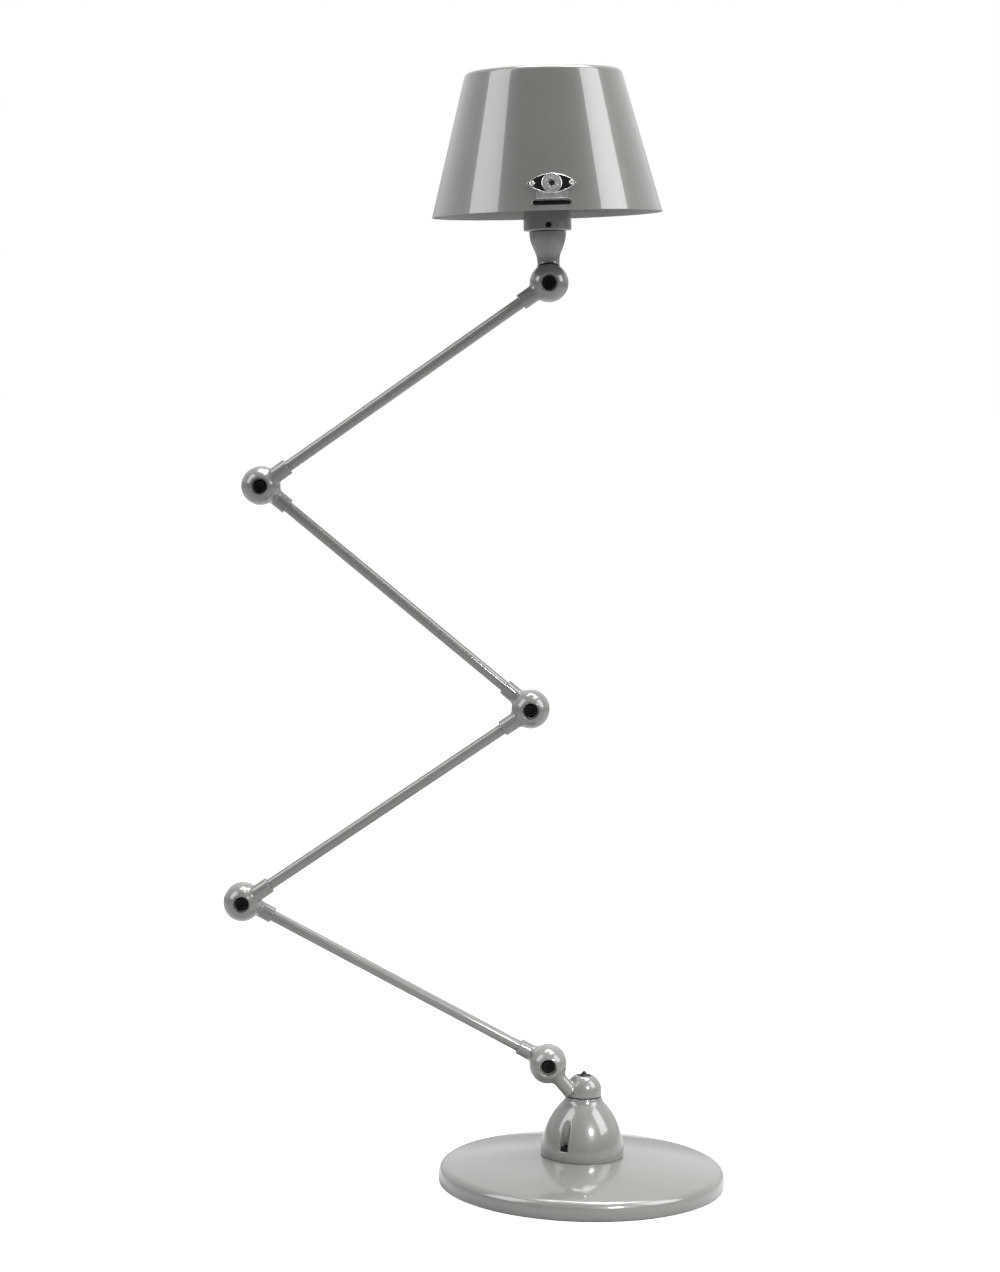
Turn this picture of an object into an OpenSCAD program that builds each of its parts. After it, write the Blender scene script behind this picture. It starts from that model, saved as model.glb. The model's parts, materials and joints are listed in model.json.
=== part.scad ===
// Articulated architect lamp on a heavy disc base: four equal tubular arms, five ball-shaped
// elbows that carry the current on contact discs, a swivelling turret with a push switch,
// and a conical shade that turns on the lamp head.
// Frame: +Z up, origin at the centre of the base's underside. The arms lie along XZ, and
// their tubes stand alternately behind (+Y) and in front (-Y) of the elbows' mating plane.

/* [Base] */
// Radius of the base
base_r = 124.3; // [100:0.1:150]
// Radius of the shallow dome on top of the base
base_crown_r = 690; // [500:10:1200]
// Height of the flat seat under the bell
base_seat_h = 26.2; // [22:0.1:34]
// Rounding of the base's shoulder
base_edge_f = 7.5; // [5:0.5:10]
// Thickness of the pressed cover
cover_t = 2; // [1.5:0.1:3]
// Height of the cover's rim above the floor
cover_rim_h = 1; // [0.5:0.1:1.5]
// Thickness of the rubber pad
pad_t = 2.2; // [1.8:0.1:3]

/* [Bell housing] */
// Radius of the bell at its foot
bell_foot_r = 36.2; // [33:0.1:42]
// Height of the bell
bell_h = 51.6; // [42:0.1:62]
// Radius of the bell's neck
bell_neck_r = 15.7; // [14.5:0.1:18]
// Radius of the flare under the neck
bell_flare_r = 9.7; // [7:0.1:12]
// Wall of the bell
bell_wall = 3.2; // [2.5:0.1:4]
// Thickness of the bell's ceiling, which guides the spindle
bell_ceiling = 7.6; // [6:0.1:9]
// Width of each fastening flute
flute_w = 7.6; // [7.4:0.1:8.4]
// Radius of the circle that the base screws stand on
screw_circle_r = 30.8; // [30:0.1:32]
// Height of the ledge under each screw head
ledge_h = 9.2; // [7:0.1:12]
// Bearing of the first flute, counted from +X
flute_bearing = 241; // [230:1:250]

/* [Turret] */
// Thickness of the friction washer under the turret
washer_t = 0.8; // [0.5:0.1:1.2]
// Radius of the turret's dome
turret_r = 15.8; // [15:0.1:18]
// Height of the upright side under the dome
turret_side_h = 3.6; // [2:0.1:6]
// Height of the turret
turret_h = 17.6; // [16.8:0.1:18.4]
// Radius of the neck between the turret and the first elbow
turret_neck_r = 6.4; // [5.5:0.1:7.1]
// Outer radius of the hollow swivel spindle
spindle_r = 5; // [4.5:0.1:6]
// Radius of the button on the switch
button_r = 1.9; // [1.5:0.1:2.2]

/* [Elbows] */
// Height of the first elbow above the base's seat
elbow_1_rise = 79.1; // [72:0.1:90]
// Distance of the first elbow from the swivel axis
elbow_1_reach = 31.6; // [30:0.1:36]
// Radius of an elbow
ball_r = 16.5; // [16:0.1:19]
// Length of an elbow's straight side, from the mating plane
ball_side = 4; // [3:0.1:5]
// Distance from the mating plane to an elbow's outer rim
ball_reach = 18.4; // [17.5:0.1:19]
// Gap between the two halves of an elbow
joint_gap = 0.4; // [0.3:0.1:0.8]
// Radius of the pivot bolt's shank
bolt_r = 3; // [2.5:0.1:3.5]
// Radius of the pivot bolt's head
bolt_head_r = 5; // [4.5:0.1:5.4]

/* [Arms] */
// Length of an arm, pivot to pivot
arm_len = 300; // [220:1:360]
// Outer radius of an arm's tube
tube_r = 5; // [4:0.1:5.8]
// Wall of an arm's tube
tube_wall = 1; // [0.8:0.1:1.2]
// Outer radius of a knuckle's sleeve
sleeve_r = 7.15; // [7:0.05:7.6]
// Distance from the pivot to the sleeve's mouth
sleeve_reach = 29; // [26:0.5:36]
// Distance from the pivot to the tube's end
tube_start = 17; // [16:0.5:20]
// Distance of the tubes' axes from the mating plane
tube_offset = 8; // [8:0.1:8.6]
// Angle of arm 1 above +X
arm_1_angle = 153; // [120:1:160]
// Angle of arm 2 above +X
arm_2_angle = 35.3; // [25:0.1:60]
// Angle of arm 3 above +X
arm_3_angle = 141.5; // [120:0.5:150]
// Angle of arm 4 above +X
arm_4_angle = 36.3; // [25:0.1:60]

/* [Head] */
// Lean of the head towards -X
head_lean = 3; // [0:0.5:10]
// Radius of the head's cup at its mouth
cup_r = 15.7; // [15.4:0.1:17]
// Distance from the pivot to the cup's mouth
cup_reach = 43.5; // [42:0.1:48]
// Radius of the curve that narrows the cup
cup_curve_r = 34; // [30:0.5:40]
// Radius of the head's neck at the elbow
head_neck_r = 9.1; // [8.6:0.1:9.6]
// Radius of the neck under the cup
cup_root_r = 10; // [9.7:0.1:10.8]
// Radius of the shade's collar
collar_r = 20.3; // [20:0.1:23]
// Height of the shade's collar
collar_h = 17.8; // [15:0.1:20]
// Radius of the lampholder's body
holder_r = 17.4; // [16.8:0.1:17.5]
// Radius of the bulb
bulb_r = 30; // [25:0.5:34]
// Height of the bulb's glass
bulb_h = 82; // [76:1:90]

/* [Shade] */
// Radius of the shade's rim
rim_r = 97.6; // [82:0.1:118]
// Radius of the shade's top
shade_top_r = 65.8; // [56:0.1:76]
// Height of the shade
shade_h = 120.4; // [112:0.1:146]
// Distance from the last pivot to the shade's rim
rim_reach = 57.1; // [56:0.1:57.6]
// Rounding of the shade's top edge
shade_edge_f = 5; // [3:0.5:8]
// Thickness of the shade's sheet
shade_t = 1.2; // [0.8:0.1:1.6]
// Turn of the shade on the head
shade_turned = 2.1; // [0:0.1:5]
// Height of the carrier's slots above the rim
slot_rise = 6.1; // [5.8:0.1:6.6]
// Length of a carrier slot
slot_w = 32; // [26:0.5:36]
// Height of a carrier slot
slot_h = 4; // [3.6:0.1:4.4]
// Length of the badge
badge_w = 41; // [36:0.5:46]
// Height of the badge
badge_h = 16.4; // [14:0.1:20]
// Height of the badge's raised rim above its plate
badge_rim_h = 0.6; // [0.4:0.05:0.8]
// Height of the badge's centre above the rim
badge_rise = 22; // [20:0.5:26]

/* [Hidden] */
$fn = 96;
ELBOWS = 5;
ARMS = 4;

// Clearances
run_gap = 0.05;      // a shaft that turns in its bore
turn_gap = 0.3;      // faces of different bodies that pass each other
slip_gap = 0.1;      // a piece laid in its pocket
eps = 0.01;

// Base
seat_r = bell_foot_r + 0.8;
crown_z = base_seat_h - sqrt(pow(base_crown_r, 2) - pow(seat_r, 2));
under_seat_z = crown_z + sqrt(pow(base_crown_r - cover_t, 2) - pow(seat_r, 2));
shoulder_r = base_r - base_edge_f;
shoulder_z = crown_z + sqrt(pow(base_crown_r - base_edge_f, 2) - pow(shoulder_r, 2));
cover_hole_r = 14;
weight_gap = 0.3;

// Bell: the outline's convex arc is tangent to the flare under the neck
bell_z = base_seat_h;
bell_curve_z = 2;
bell_flare_z = bell_h + 1;
bell_flare_x = bell_neck_r + bell_flare_r;
bell_dx = bell_flare_x - bell_foot_r;
bell_dz = bell_flare_z - bell_curve_z;
bell_curve_r = (pow(bell_dx, 2) + pow(bell_dz, 2) - pow(bell_flare_r, 2))
    / (2 * (bell_flare_r - bell_dx));
bell_curve_x = bell_foot_r - bell_curve_r;
bell_turn = atan2(bell_dz, bell_flare_x - bell_curve_x);
flutes = 3;
m4_r = 2;
m4_head_r = 3.5;
m4_head_h = 4;
m4_depth = 18;
gland_bearing = flute_bearing - 180;
gland_h = 12;
gland_face_r = bell_foot_r + 1;
gland_thread_r = 6;
gland_bore_r = 3.75;

// Turret
washer_z = bell_z + bell_h;
turret_z = washer_z + washer_t;
dome_z = turret_z + turret_side_h;
turret_floor = 4.4;
switch_r = 7.4;
switch_room_r = 8.2;
button_well = 2;
roof_t = 2.5;
room_top = turret_z + turret_h - button_well - roof_t;
bushing_r = 3.4;
button_tip_z = turret_z + turret_h + 3.6;
collar_nut_r = 4.9;
spindle_bore_r = 3.2;
nut_flats = 17;
nut_h = 6;
nut_top = washer_z - bell_ceiling - slip_gap;

// Elbows
pivot_z = base_seat_h + elbow_1_rise;
function along(a) = [arm_len * cos(a), 0, arm_len * sin(a)];
P1 = [-elbow_1_reach, 0, pivot_z];
P2 = P1 + along(arm_1_angle);
P3 = P2 + along(arm_2_angle);
P4 = P3 + along(arm_3_angle);
P5 = P4 + along(arm_4_angle);
PIVOTS = [P1, P2, P3, P4, P5];
ANGLES = [arm_1_angle, arm_2_angle, arm_3_angle, arm_4_angle];
neck_angle = -48.5;
head_seat = 6.2;
recess_r = bolt_head_r + 0.5;
recess_mouth_r = 7.3;
recess_step = 12.6;
head_h = 6;
socket_flats = 5;
disc_room_r = 12.4;
disc_back = 4.2;
disc_face = 0.5;
track_lift = 0.25;
tracks = [6, 9.4];
spring_washer_t = 1.6;
post_x = 9.6;
wire_r = 1.1;
wire_y = 1.7;
pocket_x = 7.4;
pocket_r = 3.6;

// Head and shade, measured along the head from the last pivot
collar_z = cup_reach + turn_gap;
flange_t = 2.4;
plug_r = 12.4;
holder_step = collar_z + flange_t + 0.4;
holder_top = holder_step + 25.4;
cap_r = 13;
cap_top = holder_top + 3;
strap_t = 2.6;
strap_z = rim_reach + slot_rise - strap_t / 2;
strap_w = slot_w - 2;
strap_ring_r = 27;
side_lean = atan((rim_r - shade_top_r) / shade_h);
eyelet_x = badge_w / 2 - 4.8;
badge_t = 0.9;

// Points along an arc of radius r about c, from angle a to angle b
function arc(c, r, a, b, n = 24) = [for (k = [0 : n]) let (t = a + (b - a) * k / n)
    [c[0] + r * cos(t), c[1] + r * sin(t)]];

// The base's half outline, drawn in by inset, from height z0
function base_outline(inset, z0) = let (
    r = base_crown_r - inset,
    a = atan2(shoulder_z - crown_z, shoulder_r), b = acos(seat_r / r)
) concat([[0, z0], [base_r - inset, z0]],
    arc([shoulder_r, shoulder_z], base_edge_f - inset, 0, a, 12),
    arc([0, crown_z], r, a, b, 8),
    [[0, crown_z + r * sin(b)]]);

// The bell's half outline, drawn in by inset
function bell_outline(inset) = concat([[0, 0]],
    arc([bell_curve_x, bell_curve_z], bell_curve_r - inset,
        -asin(bell_curve_z / (bell_curve_r - inset)), bell_turn, 10),
    arc([bell_flare_x, bell_flare_z], bell_flare_r + inset,
        180 + bell_turn, 180 + asin((bell_flare_z - bell_h) / (bell_flare_r + inset)), 6),
    [[0, bell_h]]);

// The shade's half outline, drawn in by inset (out where negative)
function shade_outline(inset) = let (
    h = shade_h - shade_edge_f,
    x = rim_r - h * tan(side_lean) - shade_edge_f / cos(side_lean)
) concat([[0, 0], [rim_r - inset / cos(side_lean), 0]],
    arc([x, h], shade_edge_f - inset, side_lean, 90, 10),
    [[0, shade_h - inset]]);

// The bulb's half outline: a ball and the straight flanks that run down to its neck
function bulb_outline(inset) = let (
    r = bulb_r - inset, c = bulb_h - bulb_r, n = cap_r - 0.4 - inset,
    a = atan2(n, c) + acos(r / sqrt(n * n + c * c))
) concat([[0, 0], [n, 0]], arc([0, c], r, a - 90, 90, 30));

module ring(r_out, r_in, h) {
    difference() {
        cylinder(r = r_out, h = h);
        translate([0, 0, -eps]) cylinder(r = r_in, h = h + 2 * eps);
    }
}

module hexagon(flats, h) cylinder(r = flats / sqrt(3), h = h, $fn = 6);

// Places: an elbow's half looks outward along +Z, with its arm along +X
module at_elbow(i, angle, front) {
    translate(PIVOTS[i - 1]) rotate([0, -angle, 0]) rotate([front ? 90 : -90, 0, 0]) children();
}
module on_head() translate(P5) rotate([0, -head_lean, 0]) children();
module on_shade() on_head() rotate([0, 0, shade_turned]) children();

// ---- Base ----

module base_cover() color("#8d8e89") difference() {
    rotate_extrude() polygon(base_outline(0, cover_rim_h));
    rotate_extrude() polygon(base_outline(cover_t, 0));
    cylinder(r = cover_hole_r, h = base_seat_h + 1);
    screw_holes(m4_r + 0.2);
}

module base_weight() color("#3b3a38") difference() {
    union() {
        translate([0, 0, pad_t]) intersection() {
            translate([0, 0, -pad_t]) rotate_extrude()
                polygon(base_outline(cover_t + weight_gap, 0));
            cylinder(r = base_r, h = base_seat_h);
        }
        translate([0, 0, pad_t]) cylinder(r = seat_r - weight_gap, h = under_seat_z - pad_t);
    }
    screw_holes(m4_r);
}

module base_pad() color("#1d1d1d") cylinder(r = base_r - cover_t - 0.5, h = pad_t);

module at_screw(k) rotate([0, 0, flute_bearing + 360 / flutes * k])
    translate([screw_circle_r, 0, bell_z + ledge_h]) children();

module screw_holes(r) for (k = [0 : flutes - 1]) at_screw(k)
    translate([0, 0, -m4_depth - ledge_h]) cylinder(r = r, h = m4_depth + ledge_h + 1);

module on_gland() translate([0, 0, bell_z + gland_h]) rotate([0, 0, gland_bearing])
    rotate([0, 90, 0]) children();

// A flute's plan: round at the back, open outwards
module flute_shape(r) {
    circle(r = r);
    translate([0, -r]) square([bell_foot_r, 2 * r]);
}

module bell_housing() color("#8d8e89") difference() {
    union() {
        translate([0, 0, bell_z]) rotate_extrude() polygon(bell_outline(0));
        intersection() {
            on_gland() cylinder(r = 8.6, h = gland_face_r);
            translate([0, 0, bell_z]) cylinder(r = base_r, h = bell_h);
        }
    }
    difference() {
        translate([0, 0, bell_z]) intersection() {
            rotate_extrude() polygon(bell_outline(bell_wall));
            cylinder(r = bell_foot_r, h = bell_h - bell_ceiling);
        }
        for (k = [0 : flutes - 1]) at_screw(k) translate([0, 0, -ledge_h - 1])
            linear_extrude(bell_h + 2) flute_shape(flute_w / 2 + bell_wall);
    }
    for (k = [0 : flutes - 1]) at_screw(k) linear_extrude(bell_h) flute_shape(flute_w / 2);
    screw_holes(m4_r + 0.2);
    cylinder(r = spindle_r + run_gap, h = washer_z + 1);
    on_gland() cylinder(r = gland_thread_r, h = bell_foot_r + 2);
}

module bell_screws() color("#111111") for (k = [0 : flutes - 1]) at_screw(k) difference() {
    union() {
        cylinder(r = m4_head_r, h = m4_head_h);
        translate([0, 0, -m4_depth - ledge_h]) cylinder(r = m4_r, h = m4_depth + ledge_h + 1);
    }
    translate([0, 0, m4_head_h - 2]) hexagon(3, 3);
}

module cable_gland() color("#1a1a1a") on_gland() difference() {
    union() {
        translate([0, 0, bell_foot_r - bell_wall - 5]) cylinder(r = gland_thread_r, h = 10);
        translate([0, 0, bell_foot_r - bell_wall - 6.5]) hexagon(14, 4);
        translate([0, 0, gland_face_r]) hexagon(14.5, 4);
        translate([0, 0, gland_face_r + 4]) cylinder(r = 6.6, h = 6);
        translate([0, 0, gland_face_r + 10]) cylinder(r1 = 6.6, r2 = 5, h = 3);
    }
    translate([0, 0, bell_foot_r - bell_wall - 7])
        cylinder(r = gland_bore_r, h = gland_face_r - bell_foot_r + bell_wall + 21);
}

module terminal_block() color("#d8d4c4") translate([0, 0, base_seat_h]) difference() {
    translate([-11, -8, 0]) cube([22, 16, 12]);
    for (x = [-5.5, 5.5]) translate([x, 0, 0]) {
        for (y = [-4, 4]) translate([0, y, 6]) cylinder(r = 1.8, h = 7);
        translate([0, 9, 5]) rotate([90, 0, 0]) cylinder(r = 1.6, h = 18);
    }
}

// ---- Turret and switch ----

module turret() color("#8d8e89") difference() {
    union() {
        translate([0, 0, turret_z]) cylinder(r = turret_r, h = turret_side_h);
        intersection() {
            translate([0, 0, dome_z]) sphere(r = turret_r);
            translate([0, 0, dome_z]) cylinder(r = turret_r + 1, h = turret_h - turret_side_h);
        }
        intersection() {
            at_elbow(1, neck_angle, true) translate([6, 0, tube_offset]) rotate([0, 90, 0])
                cylinder(r = turret_neck_r, h = 25);
            translate([-base_r, -base_r, turret_z]) cube([2 * base_r, 2 * base_r, base_r]);
        }
        at_elbow(1, neck_angle, true) half_ball();
    }
    at_elbow(1, neck_angle, true) {
        half_ball_cuts();
        translate([pocket_x, 0, tube_offset]) rotate([0, 90, 0]) cylinder(r = pocket_r, h = 22);
    }
    translate([0, 0, turret_z + turret_floor])
        cylinder(r = switch_room_r, h = room_top - turret_z - turret_floor);
    translate([0, 0, turret_z - 1]) cylinder(r = spindle_r, h = turret_floor + 2);
    translate([0, 0, room_top - 1]) cylinder(r = bushing_r, h = roof_t + 2);
    translate([0, 0, room_top + roof_t]) cylinder(r = collar_nut_r + 1.3, h = button_well + 1);
}

module friction_washer() color("#161616") translate([0, 0, washer_z + slip_gap])
    ring(turret_r - 0.2, spindle_r, washer_t - slip_gap);

module swivel_spindle() color("#b9b9b4") difference() {
    translate([0, 0, nut_top - nut_h - 2])
        cylinder(r = spindle_r, h = turret_z + turret_floor - nut_top + nut_h + 2);
    translate([0, 0, nut_top - nut_h - 3]) cylinder(r = spindle_bore_r, h = bell_h);
}

module swivel_nut() color("#b9b9b4") translate([0, 0, nut_top - nut_h]) difference() {
    hexagon(nut_flats, nut_h);
    translate([0, 0, -eps]) cylinder(r = spindle_r, h = nut_h + 2 * eps);
}

module switch_body() color("#202020") difference() {
    union() {
        translate([0, 0, turret_z + turret_floor + slip_gap])
            cylinder(r = switch_r, h = room_top - turret_z - turret_floor - slip_gap);
        translate([0, 0, room_top]) cylinder(r = bushing_r, h = roof_t + 1);
    }
    translate([0, 0, button_tip_z - 11.5]) cylinder(r = button_r + slip_gap, h = 12);
}

module switch_collar() color("#141414") translate([0, 0, room_top + roof_t]) difference() {
    cylinder(r1 = collar_nut_r, r2 = button_r + 0.7, h = 3.4);
    translate([0, 0, -eps]) cylinder(r = bushing_r, h = 1 + eps);
    cylinder(r = button_r + slip_gap, h = 4);
}

module switch_button() color("#0c0c0c") {
    translate([0, 0, button_tip_z - 9.5]) cylinder(r = button_r, h = 9.5 - button_r);
    translate([0, 0, button_tip_z - button_r]) sphere(r = button_r);
}

module riser_wires() color("#7a5230") for (x = [-1.5, 1.5])
    translate([x, 0, base_seat_h + 12.4])
        cylinder(r = wire_r, h = turret_z + turret_floor - base_seat_h - 12.4);

// ---- Elbows ----

module half_ball() {
    translate([0, 0, joint_gap / 2]) cylinder(r = ball_r, h = ball_side - joint_gap / 2);
    intersection() {
        translate([0, 0, ball_side]) sphere(r = ball_r);
        translate([0, 0, ball_side]) cylinder(r = ball_r + 1, h = ball_reach - ball_side);
    }
}

module half_ball_cuts() {
    translate([0, 0, -1]) cylinder(r = disc_room_r, h = disc_back + 1);
    cylinder(r = bolt_r + run_gap, h = ball_reach);
    translate([0, 0, head_seat]) cylinder(r = recess_r, h = recess_step - head_seat + eps);
    translate([0, 0, recess_step])
        cylinder(r1 = recess_r, r2 = recess_mouth_r, h = ball_reach - recess_step + eps);
    translate([pocket_x, -3.2, disc_back - 1]) cube([4.6, 6.4, tube_offset - disc_back + 1]);
}

module knuckle() difference() {
    union() {
        half_ball();
        translate([5, 0, tube_offset]) rotate([0, 90, 0])
            cylinder(r = sleeve_r, h = sleeve_reach - 5);
    }
    half_ball_cuts();
    translate([pocket_x, 0, tube_offset]) rotate([0, 90, 0]) cylinder(r = pocket_r, h = tube_start);
    translate([tube_start, 0, tube_offset]) rotate([0, 90, 0])
        cylinder(r = tube_r, h = sleeve_reach);
}

// A bakelite disc on the half's inner face; its two posts take the arm's wires
module contact_disc() difference() {
    union() {
        translate([0, 0, disc_face])
            cylinder(r = disc_room_r - slip_gap, h = disc_back - disc_face);
        for (y = [-wire_y, wire_y]) translate([post_x, y, disc_back - 1])
            cylinder(r = wire_r, h = 6);
    }
    translate([0, 0, -1]) cylinder(r = bolt_r + 0.6, h = disc_back + 2);
}

module track_disc(i) color("#6b3d22") at_elbow(i, track_angle(i), true) {
    contact_disc();
    for (r = tracks) translate([0, 0, track_lift]) ring(r + 0.8, r - 0.8, disc_face - track_lift + 0.5);
}

module pin_disc(i) color("#6b3d22") at_elbow(i, pin_angle(i), false) {
    contact_disc();
    for (k = [0, 1]) rotate([0, 0, 180 * k]) translate([tracks[k], 0, slip_gap - track_lift])
        cylinder(r = 0.7, h = disc_face + track_lift);
}

// Elbows 2 and 4 join the lower end of a front arm, elbows 3 and 5 its upper end
function upper_end(i) = ANGLES[i - 2] + 180;
function lower_end(i) = ANGLES[i - 1];
function track_angle(i) = i == 1 ? neck_angle : i % 2 == 0 ? lower_end(i) : upper_end(i);
function pin_angle(i) = i == ELBOWS ? 90 + head_lean : i % 2 == 0 ? upper_end(i) : lower_end(i);

module pivot_bolt(i) at_elbow(i, track_angle(i), true) difference() {
    union() {
        translate([0, 0, head_seat]) cylinder(r = bolt_head_r, h = head_h);
        translate([0, 0, -head_seat - spring_washer_t - 3])
            cylinder(r = bolt_r, h = 2 * head_seat + spring_washer_t + 4);
    }
    translate([0, 0, head_seat + head_h - 3]) hexagon(socket_flats, 4);
}

module pivot_nut(i) at_elbow(i, track_angle(i), true)
    translate([0, 0, -head_seat - slip_gap - spring_washer_t]) mirror([0, 0, 1]) difference() {
        cylinder(r = bolt_head_r, h = head_h - spring_washer_t + 0.8);
        translate([0, 0, -eps]) cylinder(r = bolt_r, h = 2.9 + eps);
        translate([0, 0, 2.9 - slip_gap]) hexagon(socket_flats, head_h);
    }

module pivot_washer(i) at_elbow(i, track_angle(i), true)
    translate([0, 0, -head_seat - slip_gap]) mirror([0, 0, 1]) difference() {
        ring(bolt_head_r + 0.1, bolt_r, spring_washer_t);
        rotate([0, 0, 35]) translate([0, -0.5, -1]) cube([bolt_head_r + 1, 1, 4]);
    }

// ---- Arms: odd arms stand behind the mating plane, even arms in front ----

function is_front(i) = i % 2 == 0;

module arm_tube(i) color("#8d8e89") at_elbow(i, ANGLES[i - 1], is_front(i))
    translate([tube_start, 0, tube_offset]) rotate([0, 90, 0])
        ring(tube_r, tube_r - tube_wall, arm_len - 2 * tube_start);

module lower_knuckle(i) color("#8d8e89") at_elbow(i, ANGLES[i - 1], is_front(i)) knuckle();

module upper_knuckle(i) color("#8d8e89")
    at_elbow(i + 1, ANGLES[i - 1] + 180, is_front(i)) knuckle();

module arm_wires(i) color("#7a5230") at_elbow(i, ANGLES[i - 1], is_front(i))
    for (y = [-wire_y, wire_y]) translate([post_x + wire_r, y, tube_offset])
        rotate([0, 90, 0]) cylinder(r = wire_r, h = arm_len - 2 * (post_x + wire_r));

// ---- Head ----

function cup_outline() = let (
    x = cup_r - cup_curve_r, a = -acos((cup_root_r - x) / cup_curve_r)
) concat([[0, 4], [head_neck_r - 0.3, 4], [head_neck_r, 14]],
    arc([x, cup_reach], cup_curve_r, a, 0, 20), [[0, cup_reach]]);

module head_casting() color("#8d8e89") difference() {
    union() {
        difference() {
            on_head() rotate_extrude() polygon(cup_outline());
            at_elbow(ELBOWS, 0, true) translate([0, 0, -joint_gap / 2])
                cylinder(r = ball_r + 0.8, h = 3 * ball_r);
        }
        at_elbow(ELBOWS, 90 + head_lean, false) half_ball();
    }
    at_elbow(ELBOWS, 90 + head_lean, false) half_ball_cuts();
    on_head() {
        translate([0, tube_offset, 8]) rotate([atan2(tube_offset, 26), 0, 0])
            cylinder(r = 2.7, h = 27);
        translate([0, 0, 33]) cylinder(r = plug_r, h = cup_reach);
    }
}

module lampholder() color("#17130f") on_head() difference() {
    union() {
        translate([0, 0, 33]) cylinder(r = plug_r, h = holder_step - 33 + eps);
        translate([0, 0, holder_step]) cylinder(r = holder_r, h = holder_top - holder_step);
    }
    translate([0, 0, holder_step + 3]) cylinder(r = cap_r + 0.4, h = holder_top);
    translate([0, 0, 30]) cylinder(r = 3, h = 12);
}

module bulb_cap() color("#c9b27a") on_head() {
    translate([0, 0, holder_step + 6]) cylinder(r = cap_r, h = cap_top - holder_step - 6);
    translate([0, 0, holder_step + 3]) cylinder(r1 = 4.5, r2 = 9, h = 3);
}

module bulb_glass() color("#f4f2ea") on_head() translate([0, 0, cap_top]) difference() {
    rotate_extrude() polygon(bulb_outline(0));
    translate([0, 0, -eps]) rotate_extrude() polygon(bulb_outline(1));
}

// ---- Shade ----

module shade_collar() color("#8d8e89") on_shade() difference() {
    translate([0, 0, collar_z]) cylinder(r = collar_r, h = collar_h);
    translate([0, 0, collar_z - 1]) cylinder(r = plug_r + 0.4, h = flange_t + 2);
    translate([0, 0, collar_z + flange_t]) cylinder(r = holder_r + 0.4, h = collar_h);
    on_collar_screw() cylinder(r = 2.4, h = collar_r);
}

module on_collar_screw() translate([0, 0, collar_z + 4.8]) rotate([90, 0, 0]) children();

module collar_screw() color("#0e0e0e") on_shade() on_collar_screw() difference() {
    translate([0, 0, holder_r + turn_gap]) cylinder(r = 2.4, h = collar_r - holder_r - turn_gap);
    translate([0, 0, collar_r - 1.6]) hexagon(2.5, 3);
}

module shade_carrier() color("#151515") on_shade() translate([0, 0, strap_z]) difference() {
    intersection() {
        union() {
            cylinder(r = strap_ring_r, h = strap_t);
            translate([-strap_w / 2, -rim_r, 0]) cube([strap_w, 2 * rim_r, strap_t]);
        }
        cylinder(r = rim_r - slot_rise * tan(side_lean) - 0.9, h = strap_t);
    }
    translate([0, 0, -1]) cylinder(r = holder_r + 0.4, h = strap_t + 2);
}

module shade() color("#8d8e89") on_shade() translate([0, 0, rim_reach]) difference() {
    rotate_extrude() polygon(shade_outline(0));
    translate([0, 0, -eps]) rotate_extrude() polygon(shade_outline(shade_t));
    translate([0, rim_r, slot_rise]) rotate([90, 0, 0]) linear_extrude(2 * rim_r) slot_shape();
    for (k = [-1, 1]) at_eyelet(k) translate([0, 0, -6]) cylinder(r = 1.5, h = 12);
}

module slot_shape() {
    square([slot_w - slot_h, slot_h], center = true);
    for (k = [-1, 1]) translate([k * (slot_w - slot_h) / 2, 0]) circle(r = slot_h / 2);
}

// On the shade's outer face at the badge's height, looking outward, from the shade's rim
module at_eyelet(k) {
    r = rim_r - badge_rise * tan(side_lean);
    rotate([0, 0, -90 + k * asin(eyelet_x / r)]) translate([r, 0, badge_rise])
        rotate([0, 90 - side_lean, 0]) children();
}

// What is cut out of a layer on the shade's outer face, between two heights above it
module face_layer(low, high) intersection() {
    difference() {
        rotate_extrude() polygon(shade_outline(-high));
        rotate_extrude() polygon(shade_outline(-low));
    }
    translate([0, 0, badge_rise]) rotate([90, 0, 0]) linear_extrude(rim_r + 5) children();
}

// A pointed oval
module eye(w, h) {
    r = (w * w + h * h) / (4 * h);
    intersection_for(k = [-1, 1]) translate([0, k * (r - h / 2)]) circle(r = r);
}

module badge() color("#b5b5b0") on_shade() translate([0, 0, rim_reach]) difference() {
    union() {
        face_layer(0, badge_t) {
            eye(badge_w, badge_h);
            translate([-13.3, -13]) square([26.6, 6.5]);
        }
        face_layer(badge_t - 0.1, badge_t + badge_rim_h) difference() {
            eye(badge_w, badge_h);
            eye(badge_w - 3.4, badge_h - 2.4);
        }
        face_layer(badge_t - 0.1, badge_t + 1) circle(r = badge_h / 2 - 1.2);
    }
    for (k = [-1, 1]) at_eyelet(k) translate([0, 0, -6]) cylinder(r = 1.5, h = 12);
}

module badge_eyelets() color("#d0d0cc") on_shade() translate([0, 0, rim_reach])
    for (k = [-1, 1]) at_eyelet(k) difference() {
        union() {
            translate([0, 0, -shade_t - 0.5])
                cylinder(r = 1.5, h = shade_t + badge_t + badge_rim_h + 1.2);
            translate([0, 0, badge_t + badge_rim_h]) cylinder(r = 2.5, h = 0.7);
            translate([0, 0, -shade_t - 0.8]) cylinder(r = 2.5, h = 0.6);
        }
        translate([0, 0, -5]) cylinder(r = 0.9, h = 10);
    }

// ---- Output ----

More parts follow.
